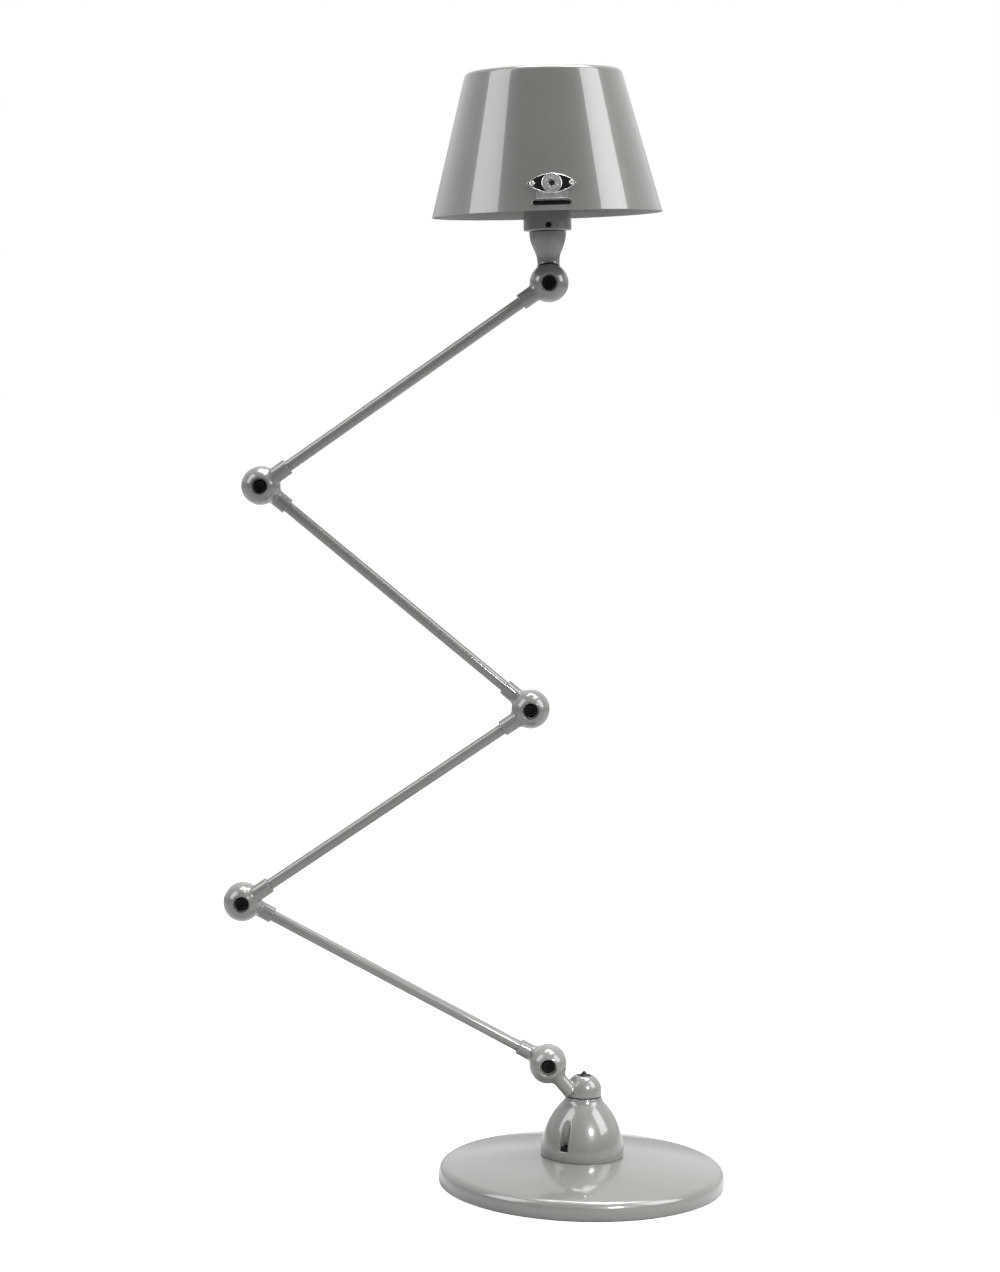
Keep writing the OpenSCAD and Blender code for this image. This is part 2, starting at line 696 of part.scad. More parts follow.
base_cover();
base_weight();
base_pad();
bell_housing();
bell_screws();
cable_gland();
terminal_block();
turret();
friction_washer();
swivel_spindle();
swivel_nut();
switch_body();
switch_collar();
switch_button();
riser_wires();
color("#0c0c0c") pivot_bolt(1);  // turret_pivot_bolt
color("#0c0c0c") pivot_nut(1);  // turret_pivot_nut
color("#8f8f8a") pivot_washer(1);  // turret_pivot_washer
for (i = [1 : ARMS]) {
    arm_tube(i);
    lower_knuckle(i);
    upper_knuckle(i);
    arm_wires(i);
}
for (i = [2 : 2 : ARMS], e = [i, i + 1]) {
    color("#0c0c0c") pivot_bolt(e);
    color("#0c0c0c") pivot_nut(e);
    color("#8f8f8a") pivot_washer(e);
}
for (i = [1 : ELBOWS]) {
    track_disc(i);
    pin_disc(i);
}
head_casting();
lampholder();
bulb_cap();
bulb_glass();
shade_collar();
collar_screw();
shade_carrier();
shade();
badge();
badge_eyelets();
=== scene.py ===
"""Articulated architect lamp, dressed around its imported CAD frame.

The lamp stands on a heavy enamelled disc. A bell carries a swivelling turret, four tubular
arms zigzag upwards between ball-shaped elbows, and a conical shade turns on the lamp head.
Lengths are metres; sizes are written as multiples of MM.
"""

import json
import logging
import math
from collections.abc import Callable, Sequence
from dataclasses import dataclass, field
from enum import Enum
from functools import reduce

import bpy
import numpy as np
from mathutils import Matrix, Vector


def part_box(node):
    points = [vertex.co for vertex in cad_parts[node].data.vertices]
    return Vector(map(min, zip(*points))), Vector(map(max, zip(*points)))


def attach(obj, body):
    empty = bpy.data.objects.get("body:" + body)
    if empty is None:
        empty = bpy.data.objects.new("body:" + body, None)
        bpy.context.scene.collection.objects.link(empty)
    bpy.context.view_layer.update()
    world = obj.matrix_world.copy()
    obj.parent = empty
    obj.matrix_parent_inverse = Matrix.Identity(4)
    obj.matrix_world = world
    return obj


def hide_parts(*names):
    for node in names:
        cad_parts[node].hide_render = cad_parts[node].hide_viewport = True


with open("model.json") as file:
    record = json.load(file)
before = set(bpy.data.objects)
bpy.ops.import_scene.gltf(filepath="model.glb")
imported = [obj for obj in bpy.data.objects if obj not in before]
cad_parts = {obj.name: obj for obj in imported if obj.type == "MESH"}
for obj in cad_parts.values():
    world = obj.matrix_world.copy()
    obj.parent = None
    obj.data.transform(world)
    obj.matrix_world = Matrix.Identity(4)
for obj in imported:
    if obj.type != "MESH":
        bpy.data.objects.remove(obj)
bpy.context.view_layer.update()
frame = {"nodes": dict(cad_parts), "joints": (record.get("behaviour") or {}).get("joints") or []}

MM = 0.001
LOG = logging.getLogger("lamp")
Points = np.ndarray
Field = Callable[[Points], np.ndarray]
Colour = tuple[float, float, float]
Outline = list[tuple[float, float]]
Steps = tuple[tuple[float, float], ...]


# ---------------------------------------------------------------- finishes


class Nodes:
    """A node tree under construction."""

    def __init__(self, tree: bpy.types.NodeTree) -> None:
        """Starts work on a tree."""
        self.tree = tree

    def node(self, kind: str, **inputs: object) -> bpy.types.Node:
        """Adds a node and fills its inputs.

        Args:
            kind: Blender's node type.
            **inputs: Values or sockets by input name, with _ for a space.

        Returns:
            The new node.
        """
        made = self.tree.nodes.new(kind)
        for key, value in inputs.items():
            self.put(made.inputs[key.replace("_", " ")], value)
        return made

    def put(self, socket: bpy.types.NodeSocket, value: object) -> None:
        """Links a socket to another, or sets its value.

        Args:
            socket: The input to fill.
            value: A value, or the output to link.
        """
        if isinstance(value, bpy.types.NodeSocket):
            self.tree.links.new(value, socket)
        else:
            socket.default_value = value

    def stops(self, value: bpy.types.NodeSocket,
              stops: Sequence[tuple[float, Colour]]) -> bpy.types.NodeSocket:
        """Blends through several colours.

        Args:
            value: What the blend follows.
            stops: The value at which each colour is full, and that colour.

        Returns:
            The colour.
        """
        made = self.node("ShaderNodeValToRGB", Fac=value)
        while len(made.color_ramp.elements) < len(stops):
            made.color_ramp.elements.new(0.5)
        for element, (position, colour) in zip(made.color_ramp.elements, stops):
            element.position, element.color = position, (*colour, 1.0)
        return made.outputs["Color"]

    def mixed(self, kind: str, factor: object, one: object, two: object) -> bpy.types.NodeSocket:
        """Mixes two colours.

        Args:
            kind: Blender's blend type.
            factor: How much of the second colour is mixed in.
            one: The first colour.
            two: The second colour.

        Returns:
            The colour.
        """
        made = self.node("ShaderNodeMix")
        made.data_type, made.blend_type = "RGBA", kind
        for number, value in zip((0, 6, 7), (factor, one, two)):
            self.put(made.inputs[number], value)
        return made.outputs[2]


class Recipe(Nodes):
    """A node material under construction, with its Principled shader."""

    def __init__(self, name: str) -> None:
        """Starts an empty material.

        Args:
            name: The material's name.
        """
        self.material = bpy.data.materials.new(name)
        self.material.use_nodes = True
        super().__init__(self.material.node_tree)
        self.shader = self.tree.nodes["Principled BSDF"]
        self.place = self.node("ShaderNodeTexCoord").outputs["Object"]

    def set(self, **inputs: object) -> None:
        """Fills inputs of the Principled shader."""
        for key, value in inputs.items():
            self.put(self.shader.inputs[key.replace("_", " ")], value)

    def noise(self, size: float, detail: float = 3.0) -> bpy.types.NodeSocket:
        """Noise whose features are about size across.

        Args:
            size: Feature size in metres.
            detail: Octaves of finer noise.

        Returns:
            The noise's value.
        """
        made = self.node("ShaderNodeTexNoise", Vector=self.place, Scale=1 / size, Detail=detail)
        return made.outputs["Fac"]

    def ramp(self, value: bpy.types.NodeSocket, low: Colour, high: Colour,
             start: float = 0.35, end: float = 0.65) -> bpy.types.NodeSocket:
        """Blends two colours by a value.

        Args:
            value: What the blend follows.
            low: Colour at start and below.
            high: Colour at end and above.
            start: Value where the blend begins.
            end: Value where it is complete.

        Returns:
            The colour.
        """
        return self.stops(value, ((start, low), (end, high)))

    def scaled(self, value: bpy.types.NodeSocket, low: float, high: float) -> bpy.types.NodeSocket:
        """Maps a 0 to 1 value onto low to high."""
        return self.node("ShaderNodeMapRange", Value=value, To_Min=low, To_Max=high).outputs[0]

    def bump(self, height: bpy.types.NodeSocket, depth: float,
             strength: float = 1.0) -> bpy.types.NodeSocket:
        """A bumped normal.

        Args:
            height: The height, 0 to 1.
            depth: What a height of 1 means, in metres.
            strength: How much of it shows.

        Returns:
            The normal.
        """
        made = self.node("ShaderNodeBump", Height=height, Distance=depth, Strength=strength)
        return made.outputs["Normal"]


@dataclass(frozen=True)
class Finish:
    """A surface finish; its material is made once and shared."""

    name: str
    slot: str

    def dress(self, recipe: Recipe) -> None:
        """Fills the recipe in.

        Args:
            recipe: The material under construction.
        """
        raise NotImplementedError

    def material(self) -> bpy.types.Material:
        """The finish's material, made on first use.

        Returns:
            The material.
        """
        found = bpy.data.materials.get(self.name)
        if found is None:
            recipe = Recipe(self.name)
            self.dress(recipe)
            found = recipe.material
        return found


@dataclass(frozen=True)
class Enamel(Finish):
    """Stoved gloss enamel: a clear gloss skin over pigment, with faint orange peel."""

    tint: Colour
    peel_depth: float = 0.002 * MM

    def dress(self, recipe: Recipe) -> None:
        """Fills the recipe in.

        Args:
            recipe: The material under construction.
        """
        darker = tuple(0.94 * c for c in self.tint)
        recipe.set(Base_Color=recipe.ramp(recipe.noise(45 * MM), darker, self.tint),
                   Roughness=0.3, Coat_Weight=1.0, Coat_Roughness=0.025, Coat_IOR=1.52)
        peel = recipe.bump(recipe.noise(7 * MM, 0.0), self.peel_depth)
        recipe.set(Normal=peel, Coat_Normal=peel)


@dataclass(frozen=True)
class Metal(Finish):
    """Bare, plated or blackened metal with a fine uneven sheen."""

    tint: Colour
    dark: Colour
    roughness: tuple[float, float]
    grain: float = 0.4 * MM
    grain_depth: float = 0.006 * MM
    metallic: float = 1.0
    specular: float = 0.5

    def dress(self, recipe: Recipe) -> None:
        """Fills the recipe in.

        Args:
            recipe: The material under construction.
        """
        recipe.set(Base_Color=recipe.ramp(recipe.noise(3 * MM, 6.0), self.dark, self.tint),
                   Metallic=self.metallic, Specular_IOR_Level=self.specular,
                   Roughness=recipe.scaled(recipe.noise(1.2 * MM, 4.0), *self.roughness),
                   Normal=recipe.bump(recipe.noise(self.grain, 2.0), self.grain_depth))


@dataclass(frozen=True)
class Moulded(Finish):
    """Moulded plastic, bakelite or rubber: slight mottling and a fine moulded grain."""

    tint: Colour
    mottle: Colour
    roughness: tuple[float, float]
    grain: float = 0.5 * MM
    grain_depth: float = 0.01 * MM

    def dress(self, recipe: Recipe) -> None:
        """Fills the recipe in.

        Args:
            recipe: The material under construction.
        """
        recipe.set(Base_Color=recipe.ramp(recipe.noise(5 * MM, 5.0), self.mottle, self.tint),
                   Roughness=recipe.scaled(recipe.noise(2 * MM), *self.roughness),
                   Normal=recipe.bump(recipe.noise(self.grain, 3.0), self.grain_depth))


@dataclass(frozen=True)
class Braid(Finish):
    """Woven sleeving: two crossing sets of threads."""

    tint: Colour
    shadow: Colour
    pitch: float = 0.7 * MM

    def dress(self, recipe: Recipe) -> None:
        """Fills the recipe in.

        Args:
            recipe: The material under construction.
        """
        threads = []
        for turn in (math.radians(38), math.radians(-38)):
            turned = recipe.node("ShaderNodeVectorRotate", Vector=recipe.place, Angle=turn)
            wave = recipe.node("ShaderNodeTexWave", Vector=turned.outputs[0],
                               Scale=1 / self.pitch / 6, Distortion=0.4)
            threads.append(wave.outputs["Fac"])
        weave = recipe.node("ShaderNodeMath")
        weave.operation = "MAXIMUM"
        for socket, thread in zip(weave.inputs, threads):
            recipe.put(socket, thread)
        recipe.set(Base_Color=recipe.ramp(weave.outputs[0], self.shadow, self.tint, 0.2, 0.9),
                   Roughness=recipe.scaled(recipe.noise(1 * MM), 0.7, 0.9),
                   Normal=recipe.bump(weave.outputs[0], 0.15 * MM))


@dataclass(frozen=True)
class Frosted(Finish):
    """Inside-frosted glass of a lamp bulb."""

    tint: Colour

    def dress(self, recipe: Recipe) -> None:
        """Fills the recipe in.

        Args:
            recipe: The material under construction.
        """
        milk = recipe.noise(9 * MM)
        recipe.set(Base_Color=recipe.ramp(milk, tuple(0.93 * c for c in self.tint), self.tint),
                   Roughness=recipe.scaled(milk, 0.16, 0.24), IOR=1.5,
                   Transmission_Weight=0.35, Subsurface_Weight=0.3, Subsurface_Scale=0.004,
                   Coat_Weight=0.6, Coat_Roughness=0.02,
                   Normal=recipe.bump(recipe.noise(4 * MM, 1.0), 0.004 * MM))


GREY_ENAMEL = Enamel("grey enamel", "grey_enamel", (0.172, 0.169, 0.158))
BLACK_STEEL = Metal("black oxide steel", "black_steel", (0.006, 0.006, 0.0065),
                    (0.002, 0.002, 0.0025), (0.42, 0.58), metallic=0.15, specular=0.25)
PLAIN_STEEL = Metal("zinc plated steel", "plain_steel", (0.62, 0.62, 0.6), (0.5, 0.5, 0.48),
                    (0.22, 0.4))
CAST_IRON = Metal("cast iron", "cast_iron", (0.075, 0.072, 0.07), (0.035, 0.034, 0.033),
                  (0.6, 0.85), 1.1 * MM, 0.12 * MM, 0.7)
CAP_BRASS = Metal("pressed brass cap", "bulb_brass", (0.78, 0.62, 0.33), (0.62, 0.47, 0.22),
                  (0.16, 0.34))
SILVER = Metal("polished badge metal", "badge_metal", (0.74, 0.74, 0.72), (0.55, 0.55, 0.53),
               (0.2, 0.32), 0.6 * MM, 0.004 * MM)
BLACK_PLASTIC = Moulded("black moulded plastic", "black_plastic", (0.011, 0.011, 0.011),
                        (0.007, 0.007, 0.007), (0.34, 0.46))
WHITE_PLASTIC = Moulded("ivory moulded plastic", "white_plastic", (0.78, 0.75, 0.66),
                        (0.7, 0.67, 0.57), (0.34, 0.45))
BAKELITE = Moulded("black bakelite", "bakelite", (0.022, 0.016, 0.012), (0.009, 0.006, 0.005),
                   (0.16, 0.3), 0.9 * MM, 0.006 * MM)
BROWN_BAKELITE = Moulded("brown bakelite", "bakelite_brown", (0.14, 0.052, 0.024),
                         (0.05, 0.018, 0.009), (0.18, 0.32), 0.9 * MM, 0.006 * MM)
RUBBER = Moulded("ribbed rubber", "rubber_pad", (0.024, 0.024, 0.024), (0.015, 0.015, 0.015),
                 (0.7, 0.85), 1.6 * MM, 0.12 * MM)
BADGE_BLACK = Moulded("vitreous black", "badge_metal", (0.006, 0.006, 0.006),
                      (0.003, 0.003, 0.003), (0.06, 0.12), 1.5 * MM, 0.01 * MM)
SLEEVING = Braid("braided sleeving", "wire_braid", (0.24, 0.13, 0.055), (0.06, 0.03, 0.012))
BULB_GLASS = Frosted("frosted bulb glass", "bulb_glass", (0.93, 0.92, 0.88))


# ---------------------------------------------------------------- shaping tools


@dataclass(frozen=True)
class Place:
    """A local frame: an origin and three unit axes, as rows."""

    origin: np.ndarray
    axes: np.ndarray

    @staticmethod
    def of(origin: Sequence[float], z: Sequence[float], x: Sequence[float]) -> "Place":
        """Builds a frame from its origin, its z axis and roughly its x axis.

        Args:
            origin: The frame's origin.
            z: The direction of z.
            x: A direction near x; what is along z is taken out of it.

        Returns:
            The frame.
        """
        up = np.array(z, float) / np.linalg.norm(z)
        side = np.array(x, float) - np.dot(x, up) * up
        side /= np.linalg.norm(side)
        return Place(np.array(origin, float), np.array([side, np.cross(up, side), up]))

    def world(self, points: Points) -> Points:
        """Local points in the lamp's frame."""
        return points @ self.axes + self.origin

    def turned(self, points: Points) -> Points:
        """Local directions in the lamp's frame."""
        return points @ self.axes

    def local(self, points: Points) -> Points:
        """The lamp's points in this frame."""
        return (points - self.origin) @ self.axes.T


def blend_min(a: np.ndarray, b: np.ndarray, radius: float) -> np.ndarray:
    """The lesser of two distances, rounded where they meet."""
    near = np.maximum(radius - np.abs(a - b), 0) / radius
    return np.minimum(a, b) - near * near * radius / 4


def outside(part: Field) -> Field:
    """The space that a solid leaves."""
    return lambda points: -part(points)


def fuse(radius: float, *parts: Field) -> Field:
    """Joins solids with a fillet of about the given radius."""
    return lambda points: reduce(lambda a, b: blend_min(a, b, radius),
                                 [part(points) for part in parts])


def carve(radius: float, body: Field, *tools: Field) -> Field:
    """Cuts tools out of a solid, with edges rounded by about the given radius."""
    return outside(fuse(radius, outside(body), *tools))


def common(radius: float, *parts: Field) -> Field:
    """What solids share, with edges rounded by about the given radius."""
    return outside(fuse(radius, *map(outside, parts)))


def rod(start: Sequence[float], end: Sequence[float], r_start: float,
        r_end: float | None = None) -> Field:
    """A cylinder or cone between two points.

    Args:
        start: Centre of the first end.
        end: Centre of the second end.
        r_start: Radius at the first end.
        r_end: Radius at the second end, if it differs.

    Returns:
        The solid's field.
    """
    a, b = np.array(start, float), np.array(end, float)
    length = float(np.linalg.norm(b - a))
    along = (b - a) / length
    slope = ((r_start if r_end is None else r_end) - r_start) / length
    lean = 1 / math.hypot(1, slope)

    def made(points: Points) -> np.ndarray:
        """Distances from the rod.

        Args:
            points: Where to measure.

        Returns:
            The distances, negative inside.
        """
        offset = points - a
        h = offset @ along
        radial = np.linalg.norm(offset - h[:, None] * along, axis=1)
        side = (radial - r_start - slope * h) * lean
        return np.maximum(np.maximum(side, -h), h - length)

    return made


def dome(side: float, radius: float) -> Field:
    """A round-topped post about z: upright to the height side, then part of a ball.

    Args:
        side: Height where the ball begins.
        radius: The post's radius, and the ball's.

    Returns:
        The solid's field.
    """

    def made(points: Points) -> np.ndarray:
        """Distances from the post."""
        over = np.maximum(points[:, 2] - side, 0)
        return np.sqrt(points[:, 0] ** 2 + points[:, 1] ** 2 + over**2) - radius

    return made


def above(height: float) -> Field:
    """Everything above a height."""
    return lambda points: height - points[:, 2]


def below(height: float) -> Field:
    """Everything below a height."""
    return lambda points: points[:, 2] - height


def prism(flats: float, sides: int, low: float, high: float) -> Field:
    """A regular prism about z.

    Args:
        flats: Distance between opposite flats.
        sides: How many flats; even.
        low: Height of its foot.
        high: Height of its top.

    Returns:
        The solid's field.
    """
    turns = np.arange(sides // 2) * 2 * math.pi / sides
    normals = np.array([np.cos(turns), np.sin(turns)])

    def made(points: Points) -> np.ndarray:
        """Distances from the prism."""
        side = np.abs(points[:, :2] @ normals).max(axis=1) - flats / 2
        return np.maximum(side, np.maximum(low - points[:, 2], points[:, 2] - high))

    return made


def moved(part: Field, place: Place) -> Field:
    """A solid given in another local frame."""
    return lambda points: part(place.local(points))


def slopes(shape: Field, points: Points, step: float) -> Points:
    """The field's gradient, by central differences.

    Args:
        shape: The field.
        points: Where to take it.
        step: The distance between samples, halved.

    Returns:
        The gradients.
    """
    result = np.empty_like(points)
    for axis in range(3):
        offset = np.zeros(3)
        offset[axis] = step
        result[:, axis] = (shape(points + offset) - shape(points - offset)) / (2 * step)
    return result


@dataclass
class Skin:
    """A mesh: its corners, its faces and, where known, its corners' normals."""

    points: Points
    faces: list[Sequence[int]]
    normals: Points | None = None

    def at(self, place: Place) -> "Skin":
        """The same mesh, taken from a local frame to the lamp's."""
        normals = None if self.normals is None else place.turned(self.normals)
        return Skin(place.world(self.points), self.faces, normals)

    def with_more(self, other: "Skin") -> "Skin":
        """Two meshes as one.

        Args:
            other: The mesh to add.

        Returns:
            The joined mesh.
        """
        count = len(self.points)
        faces = list(self.faces) + [[count + i for i in face] for face in other.faces]
        both = self.normals is not None and other.normals is not None
        return Skin(np.vstack([self.points, other.points]), faces,
                    np.vstack([self.normals, other.normals]) if both else None)


def skin_of(shape: Field, low: Sequence[float], high: Sequence[float], step: float) -> Skin:
    """Skins a field: one corner per crossed cell, drawn onto the true surface.

    Args:
        shape: The solid's field, negative inside.
        low: Lowest corner of a box around the solid.
        high: Highest corner of that box.
        step: Size of a cell.

    Returns:
        The closed quad mesh, with the surface's own normals.
    """
    start = np.array(low, float) - 1.5 * step
    counts = np.ceil((np.array(high, float) + 1.5 * step - start) / step).astype(int) + 1
    ticks = [start[a] + step * np.arange(counts[a]) for a in range(3)]
    grid = np.stack(np.meshgrid(*ticks, indexing="ij"), axis=-1).reshape(-1, 3)
    value = shape(grid).reshape(counts)
    inside = value < 0
    cells = counts - 1
    total, hits = np.zeros((*cells, 3)), np.zeros(cells)
    for axis in range(3):
        across = [a for a in range(3) if a != axis]
        for da in (0, 1):
            for db in (0, 1):
                take, after = [None] * 3, [None] * 3
                take[axis], after[axis] = slice(0, cells[axis]), slice(1, cells[axis] + 1)
                for a, d in zip(across, (da, db)):
                    take[a] = after[a] = slice(d, d + cells[a])
                first, second = value[tuple(take)], value[tuple(after)]
                crossed = inside[tuple(take)] != inside[tuple(after)]
                share = np.where(crossed, first / np.where(crossed, first - second, 1), 0)
                spot = np.zeros((*cells, 3))
                spot[..., axis], spot[..., across[0]], spot[..., across[1]] = share, da, db
                total += np.where(crossed[..., None], spot, 0)
                hits += crossed
    used = hits > 0
    index = np.full(cells, -1)
    index[used] = np.arange(used.sum())
    corners = np.argwhere(used) + total[used] / hits[used][:, None]
    points = start + step * corners
    faces = []
    for axis in range(3):
        b, c = (axis + 1) % 3, (axis + 2) % 3
        take, after = [slice(1, cells[a]) for a in range(3)], [slice(1, cells[a]) for a in range(3)]
        take[axis], after[axis] = slice(0, cells[axis]), slice(1, cells[axis] + 1)
        here, there = inside[tuple(take)], inside[tuple(after)]
        edges = np.argwhere(here != there)
        edges[:, b] += 1
        edges[:, c] += 1
        leaving = inside[tuple(edges.T)]
        ring = []
        for db, dc in ((0, 0), (-1, 0), (-1, -1), (0, -1)):
            cell = edges.copy()
            cell[:, b] += db
            cell[:, c] += dc
            ring.append(index[tuple(cell.T)])
        ring = np.stack(ring, axis=1)
        faces.append(np.where(leaving[:, None], ring, ring[:, ::-1]))
    for _ in range(4):
        slope = slopes(shape, points, step * 0.05)
        steepness = np.maximum((slope**2).sum(axis=1), 0.05)
        shift = (shape(points) / steepness)[:, None] * slope
        size = np.linalg.norm(shift, axis=1, keepdims=True)
        points = points - shift * np.minimum(1, 0.4 * step / np.maximum(size, 1e-12))
    slope = slopes(shape, points, step * 0.2)
    normals = slope / np.maximum(np.linalg.norm(slope, axis=1, keepdims=True), 1e-9)
    return Skin(points, np.vstack(faces).tolist(), normals)


def arc(centre: tuple[float, float], radius: float, start: float, end: float,
        count: int = 10) -> Outline:
    """Points on an arc, its angles in degrees, end points included."""
    turns = [math.radians(start + (end - start) * k / count) for k in range(count + 1)]
    return [(centre[0] + radius * math.cos(t), centre[1] + radius * math.sin(t)) for t in turns]


def lathe(outline: Sequence[tuple[float, float]], sides: int = 160) -> Skin:
    """Turns a closed outline about z.

    Args:
        outline: (radius, height) points, anticlockwise with the radius to the right.
        sides: Steps round the axis.

    Returns:
        The closed mesh.
    """
    turns = np.arange(sides) * 2 * math.pi / sides
    points, rings = [], []
    for radius, height in outline:
        if radius < 1e-9:
            rings.append([len(points)] * sides)
            points.append((0.0, 0.0, height))
        else:
            rings.append(list(range(len(points), len(points) + sides)))
            points += [(radius * math.cos(t), radius * math.sin(t), height) for t in turns]
    faces = []
    for one, two in zip(rings, rings[1:] + rings[:1]):
        if one[0] == one[1] and two[0] == two[1]:
            continue
        for k in range(sides):
            n = (k + 1) % sides
            face = [one[k], one[n], two[n], two[k]]
            faces.append([i for j, i in enumerate(face) if i not in face[:j]])
    return Skin(np.array(points), faces)


def make(name: str, skin: Skin, finish: Finish, body: str, replaces: Sequence[str] = (),
         crease: float = 32.0) -> bpy.types.Object:
    """Makes a piece, gives it its finish and fastens it to a body.

    Args:
        name: The piece's name.
        skin: Its mesh, in the lamp's frame.
        finish: Its finish.
        body: The body that it rides on.
        replaces: The CAD nodes that it stands for.
        crease: Edges sharper than this many degrees stay sharp.

    Returns:
        The new object.
    """
    mesh = bpy.data.meshes.new(name)
    mesh.from_pydata(skin.points.tolist(), [], [list(map(int, f)) for f in skin.faces])
    mesh.validate()
    mesh.shade_smooth()
    if skin.normals is None:
        mesh.set_sharp_from_angle(angle=math.radians(crease))
    else:
        mesh.normals_split_custom_set_from_vertices([tuple(n) for n in skin.normals])
    piece = bpy.data.objects.new(name, mesh)
    bpy.context.scene.collection.objects.link(piece)
    mesh.materials.append(finish.material())
    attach(piece, body)
    if replaces:
        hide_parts(*replaces)
    LOG.info("%s: %d faces on %s", name, len(mesh.polygons), body)
    return piece


def refinish(finish: Finish, *nodes: str) -> None:
    """Gives carried-over CAD nodes a finish.

    Args:
        finish: The finish.
        *nodes: The nodes' names.
    """
    for name in nodes:
        node = frame["nodes"][name]
        node.data.materials.clear()
        node.data.materials.append(finish.material())
        node.data.shade_smooth()
        node.data.set_sharp_from_angle(angle=math.radians(30))
        LOG.info("%s: refinished", name)


def joint(name: str) -> dict:
    """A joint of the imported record, by name."""
    return next(j for j in frame["joints"] if j["name"] == name)


def pivot(number: int) -> np.ndarray:
    """Where an elbow's pivot is."""
    return np.array(joint(f"elbow_{number}")["pos_m"])


# ---------------------------------------------------------------- base


@dataclass
class Base:
    """The weighted disc: an enamelled cover over cast iron, on a rubber pad."""

    edge_radius: float = 7.5 * MM
    crown_radius: float = 690 * MM
    sheet: float = 2 * MM
    hem: float = 0.7 * MM
    seat_margin: float = 0.8 * MM
    hole_radius: float = 14 * MM
    pad_chamfer: float = 0.5 * MM
    pad_rings: tuple[float, ...] = (0.35, 0.6, 0.85)
    sides: int = 256
    name: str = field(default="base", init=False)

    def __post_init__(self) -> None:
        """Reads the cover's size from the frame."""
        low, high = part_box("base_cover")
        self.radius, self.rim, self.top = high.x, low.z, high.z
        self.seat_radius = self.seat_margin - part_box("bell_housing")[0].x

    def outline(self, inset: float) -> Outline:
        """The cover's profile from its rim up to its seat.

        Args:
            inset: How far the profile is drawn in.

        Returns:
            (radius, height) points.
        """
        crown_z = self.top - math.sqrt(self.crown_radius**2 - self.seat_radius**2)
        x = self.radius - self.edge_radius
        z = crown_z + math.sqrt((self.crown_radius - self.edge_radius) ** 2 - x * x)
        shoulder = math.degrees(math.atan2(z - crown_z, x))
        r = self.crown_radius - inset
        seat = math.degrees(math.acos(self.seat_radius / r))
        return (arc((x, z), self.edge_radius - inset, 0, shoulder, 16)
                + arc((0, crown_z), r, shoulder, seat, 40)[1:])

    def cover(self) -> Skin:
        """The enamelled cover, open underneath.

        Returns:
            The mesh.
        """
        outer, inner = self.outline(0), self.outline(self.sheet)
        r, z = self.radius, self.rim
        rim = [(r - self.sheet, z + self.hem), (r - self.sheet + self.hem, z),
               (r - self.hem, z), (r, z + self.hem)]
        hole = [(self.hole_radius, self.top), (self.hole_radius, inner[-1][1])]
        return lathe(rim + outer + hole + inner[::-1], self.sides)

    def pad(self) -> Skin:
        """The rubber pad, with three shallow rings pressed into its underside.

        Returns:
            The mesh.
        """
        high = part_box("base_pad")[1]
        r, c = high.x, self.pad_chamfer
        foot = [(0.0, 0.0)]
        for share in self.pad_rings:
            foot += [(share * r, 0.0), (share * r + c, c), (share * r + 3 * c, c),
                     (share * r + 4 * c, 0.0)]
        return lathe(foot + [(r - c, 0.0), (r, c), (r, high.z), (0.0, high.z)], self.sides)

    def build(self) -> None:
        """Makes the base's pieces."""
        make("cover", self.cover(), GREY_ENAMEL, self.name, ["base_cover"], 60)
        make("pad", self.pad(), RUBBER, self.name, ["base_pad"])
        refinish(CAST_IRON, "base_weight")
        refinish(WHITE_PLASTIC, "terminal_block")


